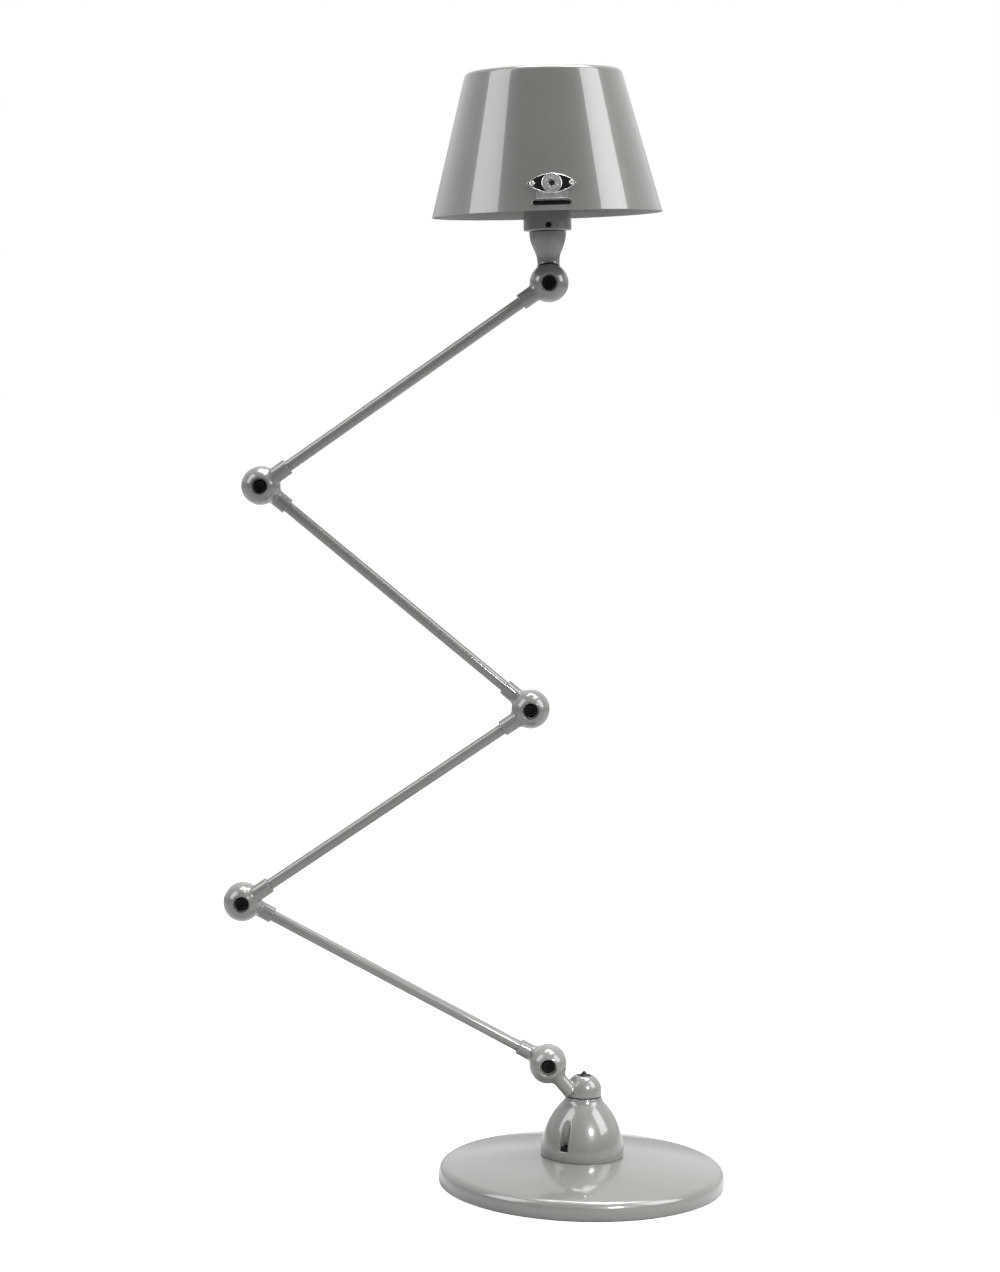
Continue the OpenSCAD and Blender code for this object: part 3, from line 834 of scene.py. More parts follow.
@dataclass
class Bell:
    """The bell that carries the swivel, with its three screws and the cable gland."""

    flare_radius: float = 9.7 * MM
    curve_height: float = 2 * MM
    flare_rise: float = 1 * MM
    neck_radius: float = 15.7 * MM
    wall: float = 3.2 * MM
    ceiling: float = 7.6 * MM
    bore: float = 5.05 * MM
    flute_radius: float = 3.8 * MM
    screw_circle: float = 30.8 * MM
    ledge: float = 9.2 * MM
    first_flute: float = 241.0
    flutes: int = 3
    screw_head: tuple[float, float] = (3.5 * MM, 4 * MM)
    screw_socket: float = 3 * MM
    shank: tuple[float, float] = (2 * MM, 27 * MM)
    gland_height: float = 12 * MM
    boss_radius: float = 8.6 * MM
    gland_bore: float = 3.75 * MM
    gland_thread: float = 6 * MM
    dome_nut: float = 6.6 * MM
    step: float = 0.85 * MM

    def __post_init__(self) -> None:
        """Reads the bell's size from the frame."""
        low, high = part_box("bell_housing")
        self.foot, self.height, self.foot_radius = low.z, high.z - low.z, -low.x
        self.flare_x = self.neck_radius + self.flare_radius
        dx = self.flare_x - self.foot_radius
        dz = self.height + self.flare_rise - self.curve_height
        self.curve = (dx * dx + dz * dz - self.flare_radius**2) / (2 * (self.flare_radius - dx))

    def profile(self, inset: float) -> Field:
        """The bell's turned body, drawn in by an inset.

        Args:
            inset: How far it is drawn in.

        Returns:
            The solid's field.
        """
        curve_x = self.foot_radius - self.curve
        flare_z = self.height + self.flare_rise
        rise = flare_z - self.curve_height
        run = self.flare_x - curve_x

        def made(points: Points) -> np.ndarray:
            """Distances from the bell's curve.

            Args:
                points: Where to measure.

            Returns:
                The distances, negative inside.
            """
            r = np.hypot(points[:, 0], points[:, 1])
            h = points[:, 2]
            low = np.hypot(r - curve_x, h - self.curve_height) - self.curve
            high = self.flare_radius - np.hypot(r - self.flare_x, h - flare_z)
            upper = (h - self.curve_height) * run > (r - curve_x) * rise
            return np.where(upper, high, low) + inset

        return made

    def flute(self, number: int, radius: float, foot: float, top: float) -> Field:
        """An upright slot about one base screw, open outwards.

        Args:
            number: Which screw, from 0.
            radius: The slot's radius at its back.
            foot: Height of its foot.
            top: Height of its top.

        Returns:
            The solid's field.
        """
        turn = math.radians(self.first_flute + 360 / self.flutes * number)
        out = np.array([math.cos(turn), math.sin(turn)])

        def made(points: Points) -> np.ndarray:
            """Distances from the slot.

            Args:
                points: Where to measure.

            Returns:
                The distances, negative inside.
            """
            along = points[:, :2] @ out - self.screw_circle
            across = points[:, 0] * -out[1] + points[:, 1] * out[0]
            side = np.hypot(np.minimum(along, 0), across) - radius
            return np.maximum(side, np.maximum(foot - points[:, 2], points[:, 2] - top))

        return made

    def gland_place(self) -> Place:
        """The gland's frame, looking outwards from the swivel axis.

        Returns:
            The frame.
        """
        turn = math.radians(self.first_flute - 180)
        out = (math.cos(turn), math.sin(turn), 0.0)
        return Place.of((0, 0, self.foot + self.gland_height), out, (0, 0, 1))

    def housing(self) -> Skin:
        """The enamelled bell.

        Returns:
            The mesh.
        """
        r, h = self.foot_radius, self.height
        gland = self.gland_place()
        lifted = Place(gland.origin - np.array([0, 0, self.foot]), gland.axes)
        body = fuse(2.5 * MM, common(1.0 * MM, self.profile(0), below(h)),
                    moved(rod((0, 0, 20 * MM), (0, 0, r + 1 * MM), self.boss_radius), lifted))
        body = common(0.6 * MM, body, above(0))
        columns = [self.flute(k, self.flute_radius + self.wall, -r, h)
                   for k in range(self.flutes)]
        hollow = carve(0.8 * MM, common(0.8 * MM, self.profile(self.wall),
                                        below(h - self.ceiling)), *columns)
        cuts = [self.flute(k, self.flute_radius, self.ledge, 2 * h) for k in range(self.flutes)]
        drill = rod((0, 0, -h), (0, 0, 2 * h), self.bore)
        port = moved(rod((0, 0, 15 * MM), (0, 0, 2 * r), self.gland_thread), lifted)
        solid = carve(0.9 * MM, carve(0.3 * MM, body, hollow, drill, port), *cuts)
        made = skin_of(solid, (-r, -r, 0), (r + 2 * MM, r + 2 * MM, h), self.step)
        return made.at(Place.of((0, 0, self.foot), (0, 0, 1), (1, 0, 0)))

    def screws(self) -> Skin:
        """Three socket-cap screws standing on the ledges.

        Returns:
            The mesh.
        """
        r, h = self.screw_head
        thin, depth = self.shank
        shank = rod((0, 0, -depth), (0, 0, 1 * MM), thin)
        solid = fuse(0.2 * MM, cap_head(r, h, self.screw_socket), shank)
        screw = skin_of(solid, (-r, -r, -depth), (r, r, h), 0.3 * MM)
        whole = None
        for k in range(self.flutes):
            turn = math.radians(self.first_flute + 360 / self.flutes * k)
            spot = (self.screw_circle * math.cos(turn), self.screw_circle * math.sin(turn),
                    self.foot + self.ledge)
            one = screw.at(Place.of(spot, (0, 0, 1), (math.cos(turn), math.sin(turn), 0)))
            whole = one if whole is None else whole.with_more(one)
        return whole

    def gland(self) -> Skin:
        """The cable gland: locknut, hexagon and a ribbed dome nut.

        Returns:
            The mesh.
        """
        face = self.foot_radius + 1 * MM
        inner = self.foot_radius - self.wall
        start, tip, dome_r = inner - 6.5 * MM, face + 13 * MM, self.dome_nut
        dome_nut = fuse(0.6 * MM, rod((0, 0, face + 4 * MM), (0, 0, face + 10 * MM), dome_r),
                        rod((0, 0, face + 9.5 * MM), (0, 0, tip), dome_r, 4.9 * MM))
        ribs = ribbed(dome_nut, 16, 0.25 * MM)
        thread = rod((0, 0, inner - 5 * MM), (0, 0, inner + 5 * MM), self.gland_thread)
        body = fuse(0.3 * MM, thread, prism(14 * MM, 6, start, start + 4 * MM),
                    prism(14.5 * MM, 6, face, face + 4 * MM), ribs)
        solid = carve(0.6 * MM, body, rod((0, 0, 0), (0, 0, 2 * face), self.gland_bore))
        r = self.boss_radius
        made = skin_of(solid, (-r, -r, start), (r, r, tip), 0.45 * MM)
        return made.at(self.gland_place())

    def build(self) -> None:
        """Makes the bell's pieces."""
        make("bell", self.housing(), GREY_ENAMEL, "base", ["bell_housing"])
        make("base_screws", self.screws(), BLACK_STEEL, "base", ["bell_screws"])
        make("gland", self.gland(), BLACK_PLASTIC, "base", ["cable_gland"])


def ribbed(part: Field, count: int, depth: float) -> Field:
    """A turned solid about z with shallow upright ribs."""
    return lambda points: part(points) + depth * (
        0.5 + 0.5 * np.cos(count * np.arctan2(points[:, 1], points[:, 0])))


def cap_head(radius: float, height: float, socket: float) -> Field:
    """A knurled socket-cap head standing on z = 0.

    Args:
        radius: The head's radius.
        height: Its height.
        socket: Distance across the socket's flats.

    Returns:
        The solid's field.
    """
    body = ribbed(rod((0, 0, 0), (0, 0, height), radius), 30, 0.12 * MM)
    rounded = common(0.7 * MM, body, below(height))
    return carve(0.25 * MM, rounded, prism(socket, 6, height * 0.45, 2 * height))


# ---------------------------------------------------------------- elbows and arms


class Side(Enum):
    """Which half of an elbow a piece is."""

    FRONT = -1.0
    REAR = 1.0


@dataclass(frozen=True)
class Elbow:
    """The sizes that every half of every elbow shares."""

    radius: float = 16.5 * MM
    side: float = 4 * MM
    reach: float = 18.4 * MM
    gap: float = 0.2 * MM
    seat: float = 6.2 * MM
    recess: float = 5.5 * MM
    recess_step: float = 12.6 * MM
    mouth: float = 7.3 * MM
    room: float = 12.4 * MM
    room_depth: float = 4.2 * MM
    bore: float = 3.05 * MM
    offset: float = 8 * MM
    pocket: float = 3.6 * MM
    pocket_start: float = 7.4 * MM
    head: tuple[float, float] = (5 * MM, 6 * MM)
    socket: float = 5 * MM
    bolt_radius: float = 3 * MM
    washer: float = 1.6 * MM
    slip: float = 0.1 * MM
    step: float = 0.62 * MM

    def place(self, number: int, side: Side, along: Sequence[float]) -> Place:
        """The half's own frame: z outwards along the pivot, x along its arm."""
        return Place.of(pivot(number), (0, side.value, 0), along)

    def half(self) -> Field:
        """The half ball, from the mating plane to its rim."""
        return common(0.9 * MM, dome(self.side, self.radius), below(self.reach))

    def cuts(self) -> list[Field]:
        """The bolt's bore and recess, and the contact disc's room.

        Returns:
            Their fields.
        """
        funnel = fuse(0.8 * MM, rod((0, 0, self.seat), (0, 0, self.reach + 1 * MM), self.recess),
                      rod((0, 0, self.recess_step), (0, 0, self.reach + 1 * MM), self.recess,
                          self.mouth + 0.3 * MM))
        return [rod((0, 0, -1 * MM), (0, 0, self.room_depth), self.room),
                rod((0, 0, 0), (0, 0, self.reach), self.bore), funnel]

    def trimmed(self, body: Field, *more: Field) -> Field:
        """Faces a half off at the mating plane and makes the elbow's cuts in it."""
        faced = common(0.5 * MM, body, above(self.gap))
        return carve(0.7 * MM, faced, *self.cuts(), *more)

    def knuckle(self, place: Place, sleeve: float, mouth: float, tube: float) -> Skin:
        """A half elbow with the sleeve that an arm's tube fits.

        Args:
            place: The half's frame.
            sleeve: The sleeve's radius.
            mouth: Distance from the pivot to the sleeve's mouth.
            tube: The tube's radius.

        Returns:
            The mesh.
        """
        o = self.offset
        arm = common(0.8 * MM, rod((5 * MM, 0, o), (mouth + 1 * MM, 0, o), sleeve),
                     lambda points: points[:, 0] - mouth)
        body = fuse(2.6 * MM, self.half(), arm)
        bore = rod((17 * MM, 0, o), (2 * mouth, 0, o), tube + 0.02 * MM)
        pocket = rod((self.pocket_start, 0, o), (18 * MM, 0, o), self.pocket)
        solid = self.trimmed(body, bore, pocket)
        r = self.radius
        return skin_of(solid, (-r, -r, 0), (mouth, r, self.reach), self.step).at(place)

    def bolt(self, place: Place) -> Skin:
        """The pivot bolt, its head in the front half's recess.

        Args:
            place: The front half's frame.

        Returns:
            The mesh.
        """
        r, h = self.head
        low = -self.seat - self.washer - 3 * MM
        shank = rod((0, 0, low), (0, 0, self.seat + 1 * MM), self.bolt_radius)
        head = Place(np.array([0, 0, self.seat]), np.eye(3))
        solid = fuse(0.2 * MM, moved(cap_head(r, h, self.socket), head), shank)
        return skin_of(solid, (-r, -r, low), (r, r, self.seat + h), 0.4 * MM).at(place)

    def nut(self, place: Place) -> Skin:
        """The round nut, its socket in the rear half's recess.

        Args:
            place: The front half's frame.

        Returns:
            The mesh.
        """
        r, h = self.head
        thick = h - self.washer + 0.8 * MM
        solid = carve(0.2 * MM, cap_head(r, thick, self.socket),
                      rod((0, 0, -1 * MM), (0, 0, 2.9 * MM), self.bolt_radius))
        made = skin_of(solid, (-r, -r, 0), (r, r, thick), 0.4 * MM)
        origin = place.origin - place.axes[2] * (self.seat + self.slip + self.washer)
        return made.at(Place(origin, np.array([place.axes[0], -place.axes[1], -place.axes[2]])))


@dataclass
class Arm:
    """One tubular arm: the tube and the knuckle brazed to each end of it."""

    number: int
    elbow: Elbow = field(default_factory=Elbow)
    tube_radius: float = 5 * MM
    tube_bore: float = 4 * MM
    sleeve_radius: float = 7.15 * MM
    sleeve_mouth: float = 29 * MM
    tube_start: float = 17 * MM

    def __post_init__(self) -> None:
        """Finds the arm's ends and its side of the elbows."""
        self.name = f"arm_{self.number}"
        self.low, self.high = pivot(self.number), pivot(self.number + 1)
        self.length = float(np.linalg.norm(self.high - self.low))
        self.along = (self.high - self.low) / self.length
        self.side = Side.REAR if self.number % 2 else Side.FRONT

    def tube(self) -> Skin:
        """The drawn tube, open at both ends.

        Returns:
            The mesh.
        """
        length = self.length - 2 * self.tube_start
        outline = [(self.tube_bore, 0), (self.tube_radius, 0), (self.tube_radius, length),
                   (self.tube_bore, length)]
        origin = self.low + self.along * self.tube_start
        origin = origin + np.array([0, self.side.value * self.elbow.offset, 0])
        return lathe(outline, 64).at(Place.of(origin, self.along, (0, 1, 0)))

    def pivots(self) -> None:
        """Makes the bolts and nuts that a front arm carries at both ends."""
        places = [self.elbow.place(self.number, self.side, self.along),
                  self.elbow.place(self.number + 1, self.side, -self.along)]
        for word, shape in (("bolts", self.elbow.bolt), ("nuts", self.elbow.nut)):
            both = shape(places[0]).with_more(shape(places[1]))
            node = f"{self.name}_pivot_{word}"
            make(f"{self.name}_{word}", both, BLACK_STEEL, self.name, [node])
        refinish(PLAIN_STEEL, f"{self.name}_pivot_washers")

    def build(self) -> None:
        """Makes the arm's pieces."""
        make(f"{self.name}_drawn_tube", self.tube(), GREY_ENAMEL, self.name,
             [f"{self.name}_tube"])
        ends = (("lower", self.number, self.along), ("upper", self.number + 1, -self.along))
        for word, number, way in ends:
            place = self.elbow.place(number, self.side, way)
            knuckle = self.elbow.knuckle(place, self.sleeve_radius, self.sleeve_mouth,
                                         self.tube_radius)
            make(f"{self.name}_{word}_half", knuckle, GREY_ENAMEL, self.name,
                 [f"{self.name}_{word}_knuckle"])
        refinish(SLEEVING, f"{self.name}_wires")
        if self.side is Side.FRONT:
            self.pivots()


@dataclass
class Turret:
    """The swivelling turret with the first elbow's front half and the push switch."""

    elbow: Elbow = field(default_factory=Elbow)
    radius: float = 15.8 * MM
    side: float = 3.6 * MM
    floor: float = 4.4 * MM
    room: float = 8.2 * MM
    well: float = 2 * MM
    well_radius: float = 6.2 * MM
    roof: float = 2.5 * MM
    bushing: float = 3.4 * MM
    bore: float = 5 * MM
    neck_radius: float = 6.4 * MM
    neck_length: float = 31 * MM
    neck_angle: float = -48.5
    step: float = 0.6 * MM

    def __post_init__(self) -> None:
        """Reads the turret's place from the frame."""
        self.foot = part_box("friction_washer")[1].z
        self.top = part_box("switch_collar")[0].z + self.well

    def neck_place(self) -> Place:
        """The first elbow's front half, with x down along the neck."""
        turn = math.radians(self.neck_angle)
        return self.elbow.place(1, Side.FRONT, (math.cos(turn), 0, math.sin(turn)))

    def casting(self) -> Skin:
        """The enamelled casting.

        Returns:
            The mesh.
        """
        e = self.elbow
        here = self.neck_place()
        local = Place(here.origin - np.array([0, 0, self.foot]), here.axes)
        height = self.top - self.foot
        post = common(1.0 * MM, dome(self.side, self.radius), below(height))
        neck = rod((6 * MM, 0, e.offset), (self.neck_length, 0, e.offset), self.neck_radius)
        limb = moved(common(0.5 * MM, fuse(2.6 * MM, e.half(), neck), above(e.gap)), local)
        faced = common(0.6 * MM, fuse(2.2 * MM, post, limb), above(0))
        well = rod((0, 0, height - self.well), (0, 0, height + 5 * MM), self.well_radius)
        ceiling = height - self.well - self.roof
        inner = [rod((0, 0, self.floor), (0, 0, ceiling), self.room),
                 rod((0, 0, -1 * MM), (0, 0, self.floor + 1 * MM), self.bore),
                 rod((0, 0, ceiling - 1 * MM), (0, 0, height), self.bushing)]
        pocket = moved(rod((e.pocket_start, 0, e.offset), (29 * MM, 0, e.offset), e.pocket), local)
        solid = carve(0.9 * MM, faced, *[moved(cut, local) for cut in e.cuts()], well)
        solid = carve(0.3 * MM, solid, *inner, pocket)
        low = (here.origin[0] - e.radius, -e.reach, 0)
        high = (self.radius, self.radius, here.origin[2] - self.foot + e.radius)
        made = skin_of(solid, low, high, self.step)
        return made.at(Place(np.array([0, 0, self.foot]), np.eye(3)))

    def washer(self) -> Skin:
        """The fibre friction washer between bell and turret.

        Returns:
            The mesh.
        """
        low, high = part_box("friction_washer")
        r, thick = high.x, high.z - low.z
        c = 0.15 * MM
        outline = [(self.bore, 0), (r - c, 0), (r, c), (r, thick - c), (r - c, thick),
                   (self.bore, thick)]
        return lathe(outline, 128).at(Place.of((0, 0, low.z), (0, 0, 1), (1, 0, 0)))

    def collar(self) -> Skin:
        """The switch's bell-mouthed collar nut.

        Returns:
            The mesh.
        """
        low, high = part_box("switch_collar")
        r, height = high.x, high.z - low.z
        tip, bore = 2.6 * MM, 2.0 * MM
        sweep = [(tip + (r - 0.4 * MM - tip) * (1 - s) ** 1.7, 0.8 * MM + (height - 1 * MM) * s)
                 for s in (k / 10 for k in range(11))]
        outline = ([(self.bushing, 0), (r, 0), (r, 0.6 * MM)] + sweep
                   + [(tip - 0.2 * MM, height), (bore, height), (bore, 1 * MM),
                      (self.bushing, 1 * MM)])
        return lathe(outline, 72).at(Place.of((0, 0, low.z), (0, 0, 1), (1, 0, 0)))

    def button(self) -> Skin:
        """The push button: a stem with a rounded tip.

        Returns:
            The mesh.
        """
        low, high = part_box("switch_button")
        r, height = high.x, high.z - low.z
        outline = ([(0, 0), (r - 0.2 * MM, 0), (r, 0.2 * MM)]
                   + arc((0, height - r), r, 0, 90, 10))
        return lathe(outline, 48).at(Place.of((0, 0, low.z), (0, 0, 1), (1, 0, 0)))

    def build(self) -> None:
        """Makes the turret's pieces."""
        make("turret_casting", self.casting(), GREY_ENAMEL, "turret", ["turret"])
        make("swivel_washer", self.washer(), BLACK_PLASTIC, "turret", ["friction_washer"])
        make("switch_nut", self.collar(), BLACK_PLASTIC, "turret", ["switch_collar"])
        make("push_button", self.button(), BLACK_PLASTIC, "switch_button", ["switch_button"])
        place = self.neck_place()
        make("turret_bolt", self.elbow.bolt(place), BLACK_STEEL, "turret", ["turret_pivot_bolt"])
        make("turret_nut", self.elbow.nut(place), BLACK_STEEL, "turret", ["turret_pivot_nut"])
        refinish(PLAIN_STEEL, "swivel_spindle", "swivel_nut", "turret_pivot_washer")
        refinish(BLACK_PLASTIC, "switch_body")
        refinish(SLEEVING, "riser_wires")


# ---------------------------------------------------------------- head and shade


@dataclass
class Head:
    """The lamp head: the last elbow's rear half, neck and cup, with the holder and bulb."""

    elbow: Elbow = field(default_factory=Elbow)
    cup_radius: float = 15.7 * MM
    cup_mouth: float = 43.5 * MM
    cup_curve: float = 34 * MM
    neck_foot: float = 8.6 * MM
    neck_top: float = 10.3 * MM
    cup_foot: float = 22 * MM
    plug: float = 12.4 * MM
    plug_start: float = 33 * MM
    holder_radius: float = 17.4 * MM
    holder_step: float = 46.6 * MM
    holder_top: float = 72 * MM
    holder_floor: float = 49.6 * MM
    cap_radius: float = 13 * MM
    cap_top: float = 75 * MM
    thread_pitch: float = 3.6 * MM
    thread_depth: float = 0.45 * MM
    bulb_radius: float = 30 * MM
    bulb_height: float = 82 * MM
    step: float = 0.65 * MM

    def __post_init__(self) -> None:
        """Finds the head's axis."""
        self.axis = np.array(joint("shade_turn")["axis"], float)
        self.place = Place.of(pivot(5), self.axis, (1, 0, 0))

    def casting(self) -> Skin:
        """The enamelled neck and cup, in the head's frame: x right, y back, z along it.

        Returns:
            The mesh.
        """
        e = self.elbow
        curve_x = self.cup_radius - self.cup_curve
        half_place = Place.of((0, 0, 0), (0, 1, 0), (0, 0, 1))

        def cup(points: Points) -> np.ndarray:
            """Distances from the turned cup.

            Args:
                points: Where to measure.

            Returns:
                The distances, negative inside.
            """
            r = np.hypot(points[:, 0], points[:, 1])
            h = points[:, 2]
            side = np.hypot(r - curve_x, np.minimum(h - self.cup_mouth, 0)) - self.cup_curve
            return np.maximum(side, self.cup_foot - h)

        neck = rod((0, 0, 4 * MM), (0, 0, 30 * MM), self.neck_foot, self.neck_top)
        body = fuse(2.5 * MM, common(0.8 * MM, cup, below(self.cup_mouth)), neck)
        sweep = rod((0, -3 * e.radius, 0), (0, e.gap, 0), e.radius + 0.35 * MM)
        body = carve(0.4 * MM, body, sweep)
        body = fuse(2.2 * MM, body, moved(e.half(), half_place))
        body = carve(0.3 * MM, body, sweep)
        tools = [moved(cut, half_place) for cut in e.cuts()]
        room = rod((0, 0, self.plug_start), (0, 0, 2 * self.cup_mouth), self.plug)
        wires = rod((0, e.offset, 8 * MM), (0, -0.3 * MM, 35 * MM), 2.6 * MM)
        solid = carve(0.8 * MM, body, *tools, room, wires)
        r = e.radius
        return skin_of(solid, (-r, -r, -r), (r, e.reach, self.cup_mouth), self.step).at(self.place)

    def holder(self) -> Skin:
        """The bakelite lampholder, with a knurled band and an open mouth.

        Returns:
            The mesh.
        """
        r, s, t = self.holder_radius, self.holder_step, self.holder_top
        bore = self.cap_radius + 0.4 * MM
        body = fuse(0.2 * MM, rod((0, 0, self.plug_start), (0, 0, s + 1 * MM), self.plug),
                    common(1.2 * MM, ribbed(rod((0, 0, s), (0, 0, t), r), 36, 0.3 * MM), below(t)))
        solid = carve(0.6 * MM, body, rod((0, 0, self.holder_floor), (0, 0, 2 * t), bore),
                      rod((0, 0, 0), (0, 0, 42 * MM), 3 * MM))
        return skin_of(solid, (-r, -r, self.plug_start), (r, r, t), 0.75 * MM).at(self.place)

    def cap(self) -> Skin:
        """The bulb's screw cap, its thread a true helix.

        Returns:
            The mesh.
        """
        foot, top, r = self.holder_floor, self.cap_top, self.cap_radius
        thread_from, sides, rows = foot + 5 * MM, 96, 90
        points, faces = [(0.0, 0.0, foot)], []
        for k in range(rows + 1):
            h = foot + (top - foot) * k / rows
            taper = min(1.0, 0.35 + 0.65 * (h - foot) / (3 * MM))
            for j in range(sides):
                turn = 2 * math.pi * j / sides
                wave = 0.5 - 0.5 * math.cos(2 * math.pi * h / self.thread_pitch - turn)
                depth = self.thread_depth if h > thread_from and h < top - 4 * MM else 0
                radius = r * taper - depth * wave
                points.append((radius * math.cos(turn), radius * math.sin(turn), h))
        for j in range(sides):
            n = (j + 1) % sides
            faces.append([0, 1 + n, 1 + j])
            for k in range(rows):
                a, b = 1 + k * sides, 1 + (k + 1) * sides
                faces.append([a + j, a + n, b + n, b + j])
        faces.append([1 + rows * sides + j for j in range(sides)])
        return Skin(np.array(points), faces).at(self.place)

    def bulb(self) -> Skin:
        """The bulb's glass envelope.

        Returns:
            The mesh.
        """
        r, centre = self.bulb_radius, self.bulb_height - self.bulb_radius
        neck = self.cap_radius - 0.4 * MM
        reach = math.hypot(neck, centre)
        start = math.degrees(math.atan2(neck, centre) + math.acos(r / reach)) - 90
        flank = arc((0, centre), r, start, 90, 48)
        foot = [(neck, 0.0), (neck, 2 * MM)]
        ease = [(neck + (flank[0][0] - neck) * s**1.25, 2 * MM + (flank[0][1] - 2 * MM) * s)
                for s in (k / 14 for k in range(1, 14))]
        lift = Place(self.place.origin + self.axis * self.cap_top, self.place.axes)
        return lathe([(0.0, 0.0)] + foot + ease + flank, 96).at(lift)

    def build(self) -> None:
        """Makes the head's pieces."""
        make("head", self.casting(), GREY_ENAMEL, "head", ["head_casting"])
        make("holder", self.holder(), BAKELITE, "head", ["lampholder"])
        make("screw_cap", self.cap(), CAP_BRASS, "head", ["bulb_cap"])
        make("bulb", self.bulb(), BULB_GLASS, "head", ["bulb_glass"])


@dataclass
class Shade:
    """The conical shade with its collar, carrier strap and badge."""

    rim_radius: float = 97.6 * MM
    top_radius: float = 65.8 * MM
    height: float = 120.4 * MM
    rim_reach: float = 57.1 * MM
    edge: float = 5 * MM
    sheet: float = 1.2 * MM
    turned: float = 2.1
    slot_rise: float = 6.1 * MM
    slot: tuple[float, float] = (32 * MM, 4 * MM)
    slot_knob: float = 0.35 * MM
    collar: tuple[float, float] = (20.3 * MM, 17.8 * MM)
    collar_foot: float = 43.8 * MM
    collar_flange: float = 2.4 * MM
    holder: float = 17.8 * MM
    plug: float = 12.8 * MM
    screw_rise: float = 4.8 * MM
    screw_radius: float = 2.4 * MM
    screw_start: float = 17.7 * MM
    strap: float = 2.6 * MM
    strap_ring: float = 27 * MM
    strap_inset: float = 1.6 * MM
    sides: int = 256

    def __post_init__(self) -> None:
        """Finds the shade's frame: z along the head, y away from the badge."""
        axis = np.array(joint("shade_turn")["axis"], float)
        level = Place.of(pivot(5), axis, (1, 0, 0))
        turn = math.radians(self.turned)
        x = level.axes[0] * math.cos(turn) + level.axes[1] * math.sin(turn)
        self.place = Place.of(pivot(5), axis, x)
        self.rim_place = Place(self.place.origin + axis * self.rim_reach, self.place.axes)
        self.lean = math.atan((self.rim_radius - self.top_radius) / self.height)

    def outline(self, inset: float) -> Outline:
        """The shade's profile from rim to crown, drawn in by an inset.

        Args:
            inset: How far the profile is drawn in.

        Returns:
            (radius, height) points.
        """
        h = self.height - self.edge
        x = self.rim_radius - h * math.tan(self.lean) - self.edge / math.cos(self.lean)
        side = math.degrees(self.lean)
        rim = self.rim_radius - inset / math.cos(self.lean)
        wall = arc((x, h), self.edge - inset, side, 90, 12)
        steps = [(rim + (wall[0][0] - rim) * k / 12, wall[0][1] * k / 12) for k in range(12)]
        return steps + wall + [(wall[-1][0] * 0.5, self.height - inset), (0, self.height - inset)]

    def on_face(self, across: np.ndarray, rise: np.ndarray, lift: np.ndarray) -> Points:
        """Points near the shade's front face, in the rim's frame.

        Args:
            across: Distance to the right, seen from in front.
            rise: Height above the rim.
            lift: Height above the face.

        Returns:
            The points.
        """
        radius = self.rim_radius - rise * math.tan(self.lean)
        turn = across / radius
        out = radius + lift * math.cos(self.lean)
        return np.stack([out * np.sin(turn), -out * np.cos(turn),
                         rise + lift * math.sin(self.lean)], axis=-1)

    def shell(self) -> None:
        """Makes the enamelled shell, its slots cut and their edges lipped."""
        hem = 0.25 * MM
        outer, inner = self.outline(0), self.outline(self.sheet)
        rim = [(inner[0][0], hem), (inner[0][0] + hem, 0), (outer[0][0] - hem, 0),
               (outer[0][0], hem)]
        body = lathe(rim + outer[1:] + inner[:0:-1], self.sides)
        shell = make("shade_shell", body.at(self.rim_place), GREY_ENAMEL, "shade", ["shade"], 50)
        cutter = self.slot_cutter()
        cut = shell.modifiers.new("slots", "BOOLEAN")
        cut.operation, cut.solver, cut.object = "DIFFERENCE", "EXACT", cutter
        bpy.context.view_layer.update()
        mesh = bpy.data.meshes.new_from_object(
            shell.evaluated_get(bpy.context.evaluated_depsgraph_get()))
        shell.modifiers.clear()
        shell.data = mesh
        bpy.data.objects.remove(cutter)
        self.true_normals(mesh)
        for sign, word in ((1, "front"), (-1, "back")):
            make(f"slot_lip_{word}", self.lip(sign), GREY_ENAMEL, "shade")

    def slot_cutter(self) -> bpy.types.Object:
        """A bar with round ends that passes through the shade front to back.

        Returns:
            The cutting object.
        """
        w, h = self.slot
        end = h / 2 + self.slot_knob
        turn = 180 - math.degrees(math.asin(h / 2 / end))
        outline = (arc((w / 2 - h / 2, 0), end, -turn, turn, 24)
                   + arc((h / 2 - w / 2, 0), end, 180 - turn, 180 + turn, 24))
        r = self.rim_radius * 1.1
        points = [(x, s * r, self.slot_rise + z) for s in (-1, 1) for x, z in outline]
        n = len(outline)
        faces = [list(range(n)), list(range(2 * n - 1, n - 1, -1))]
        faces += [[i, i + n, (i + 1) % n + n, (i + 1) % n] for i in range(n)]
        mesh = bpy.data.meshes.new("cutter")
        mesh.from_pydata(self.rim_place.world(np.array(points)).tolist(), [], faces)
        cutter = bpy.data.objects.new("cutter", mesh)
        bpy.context.scene.collection.objects.link(cutter)
        return cutter

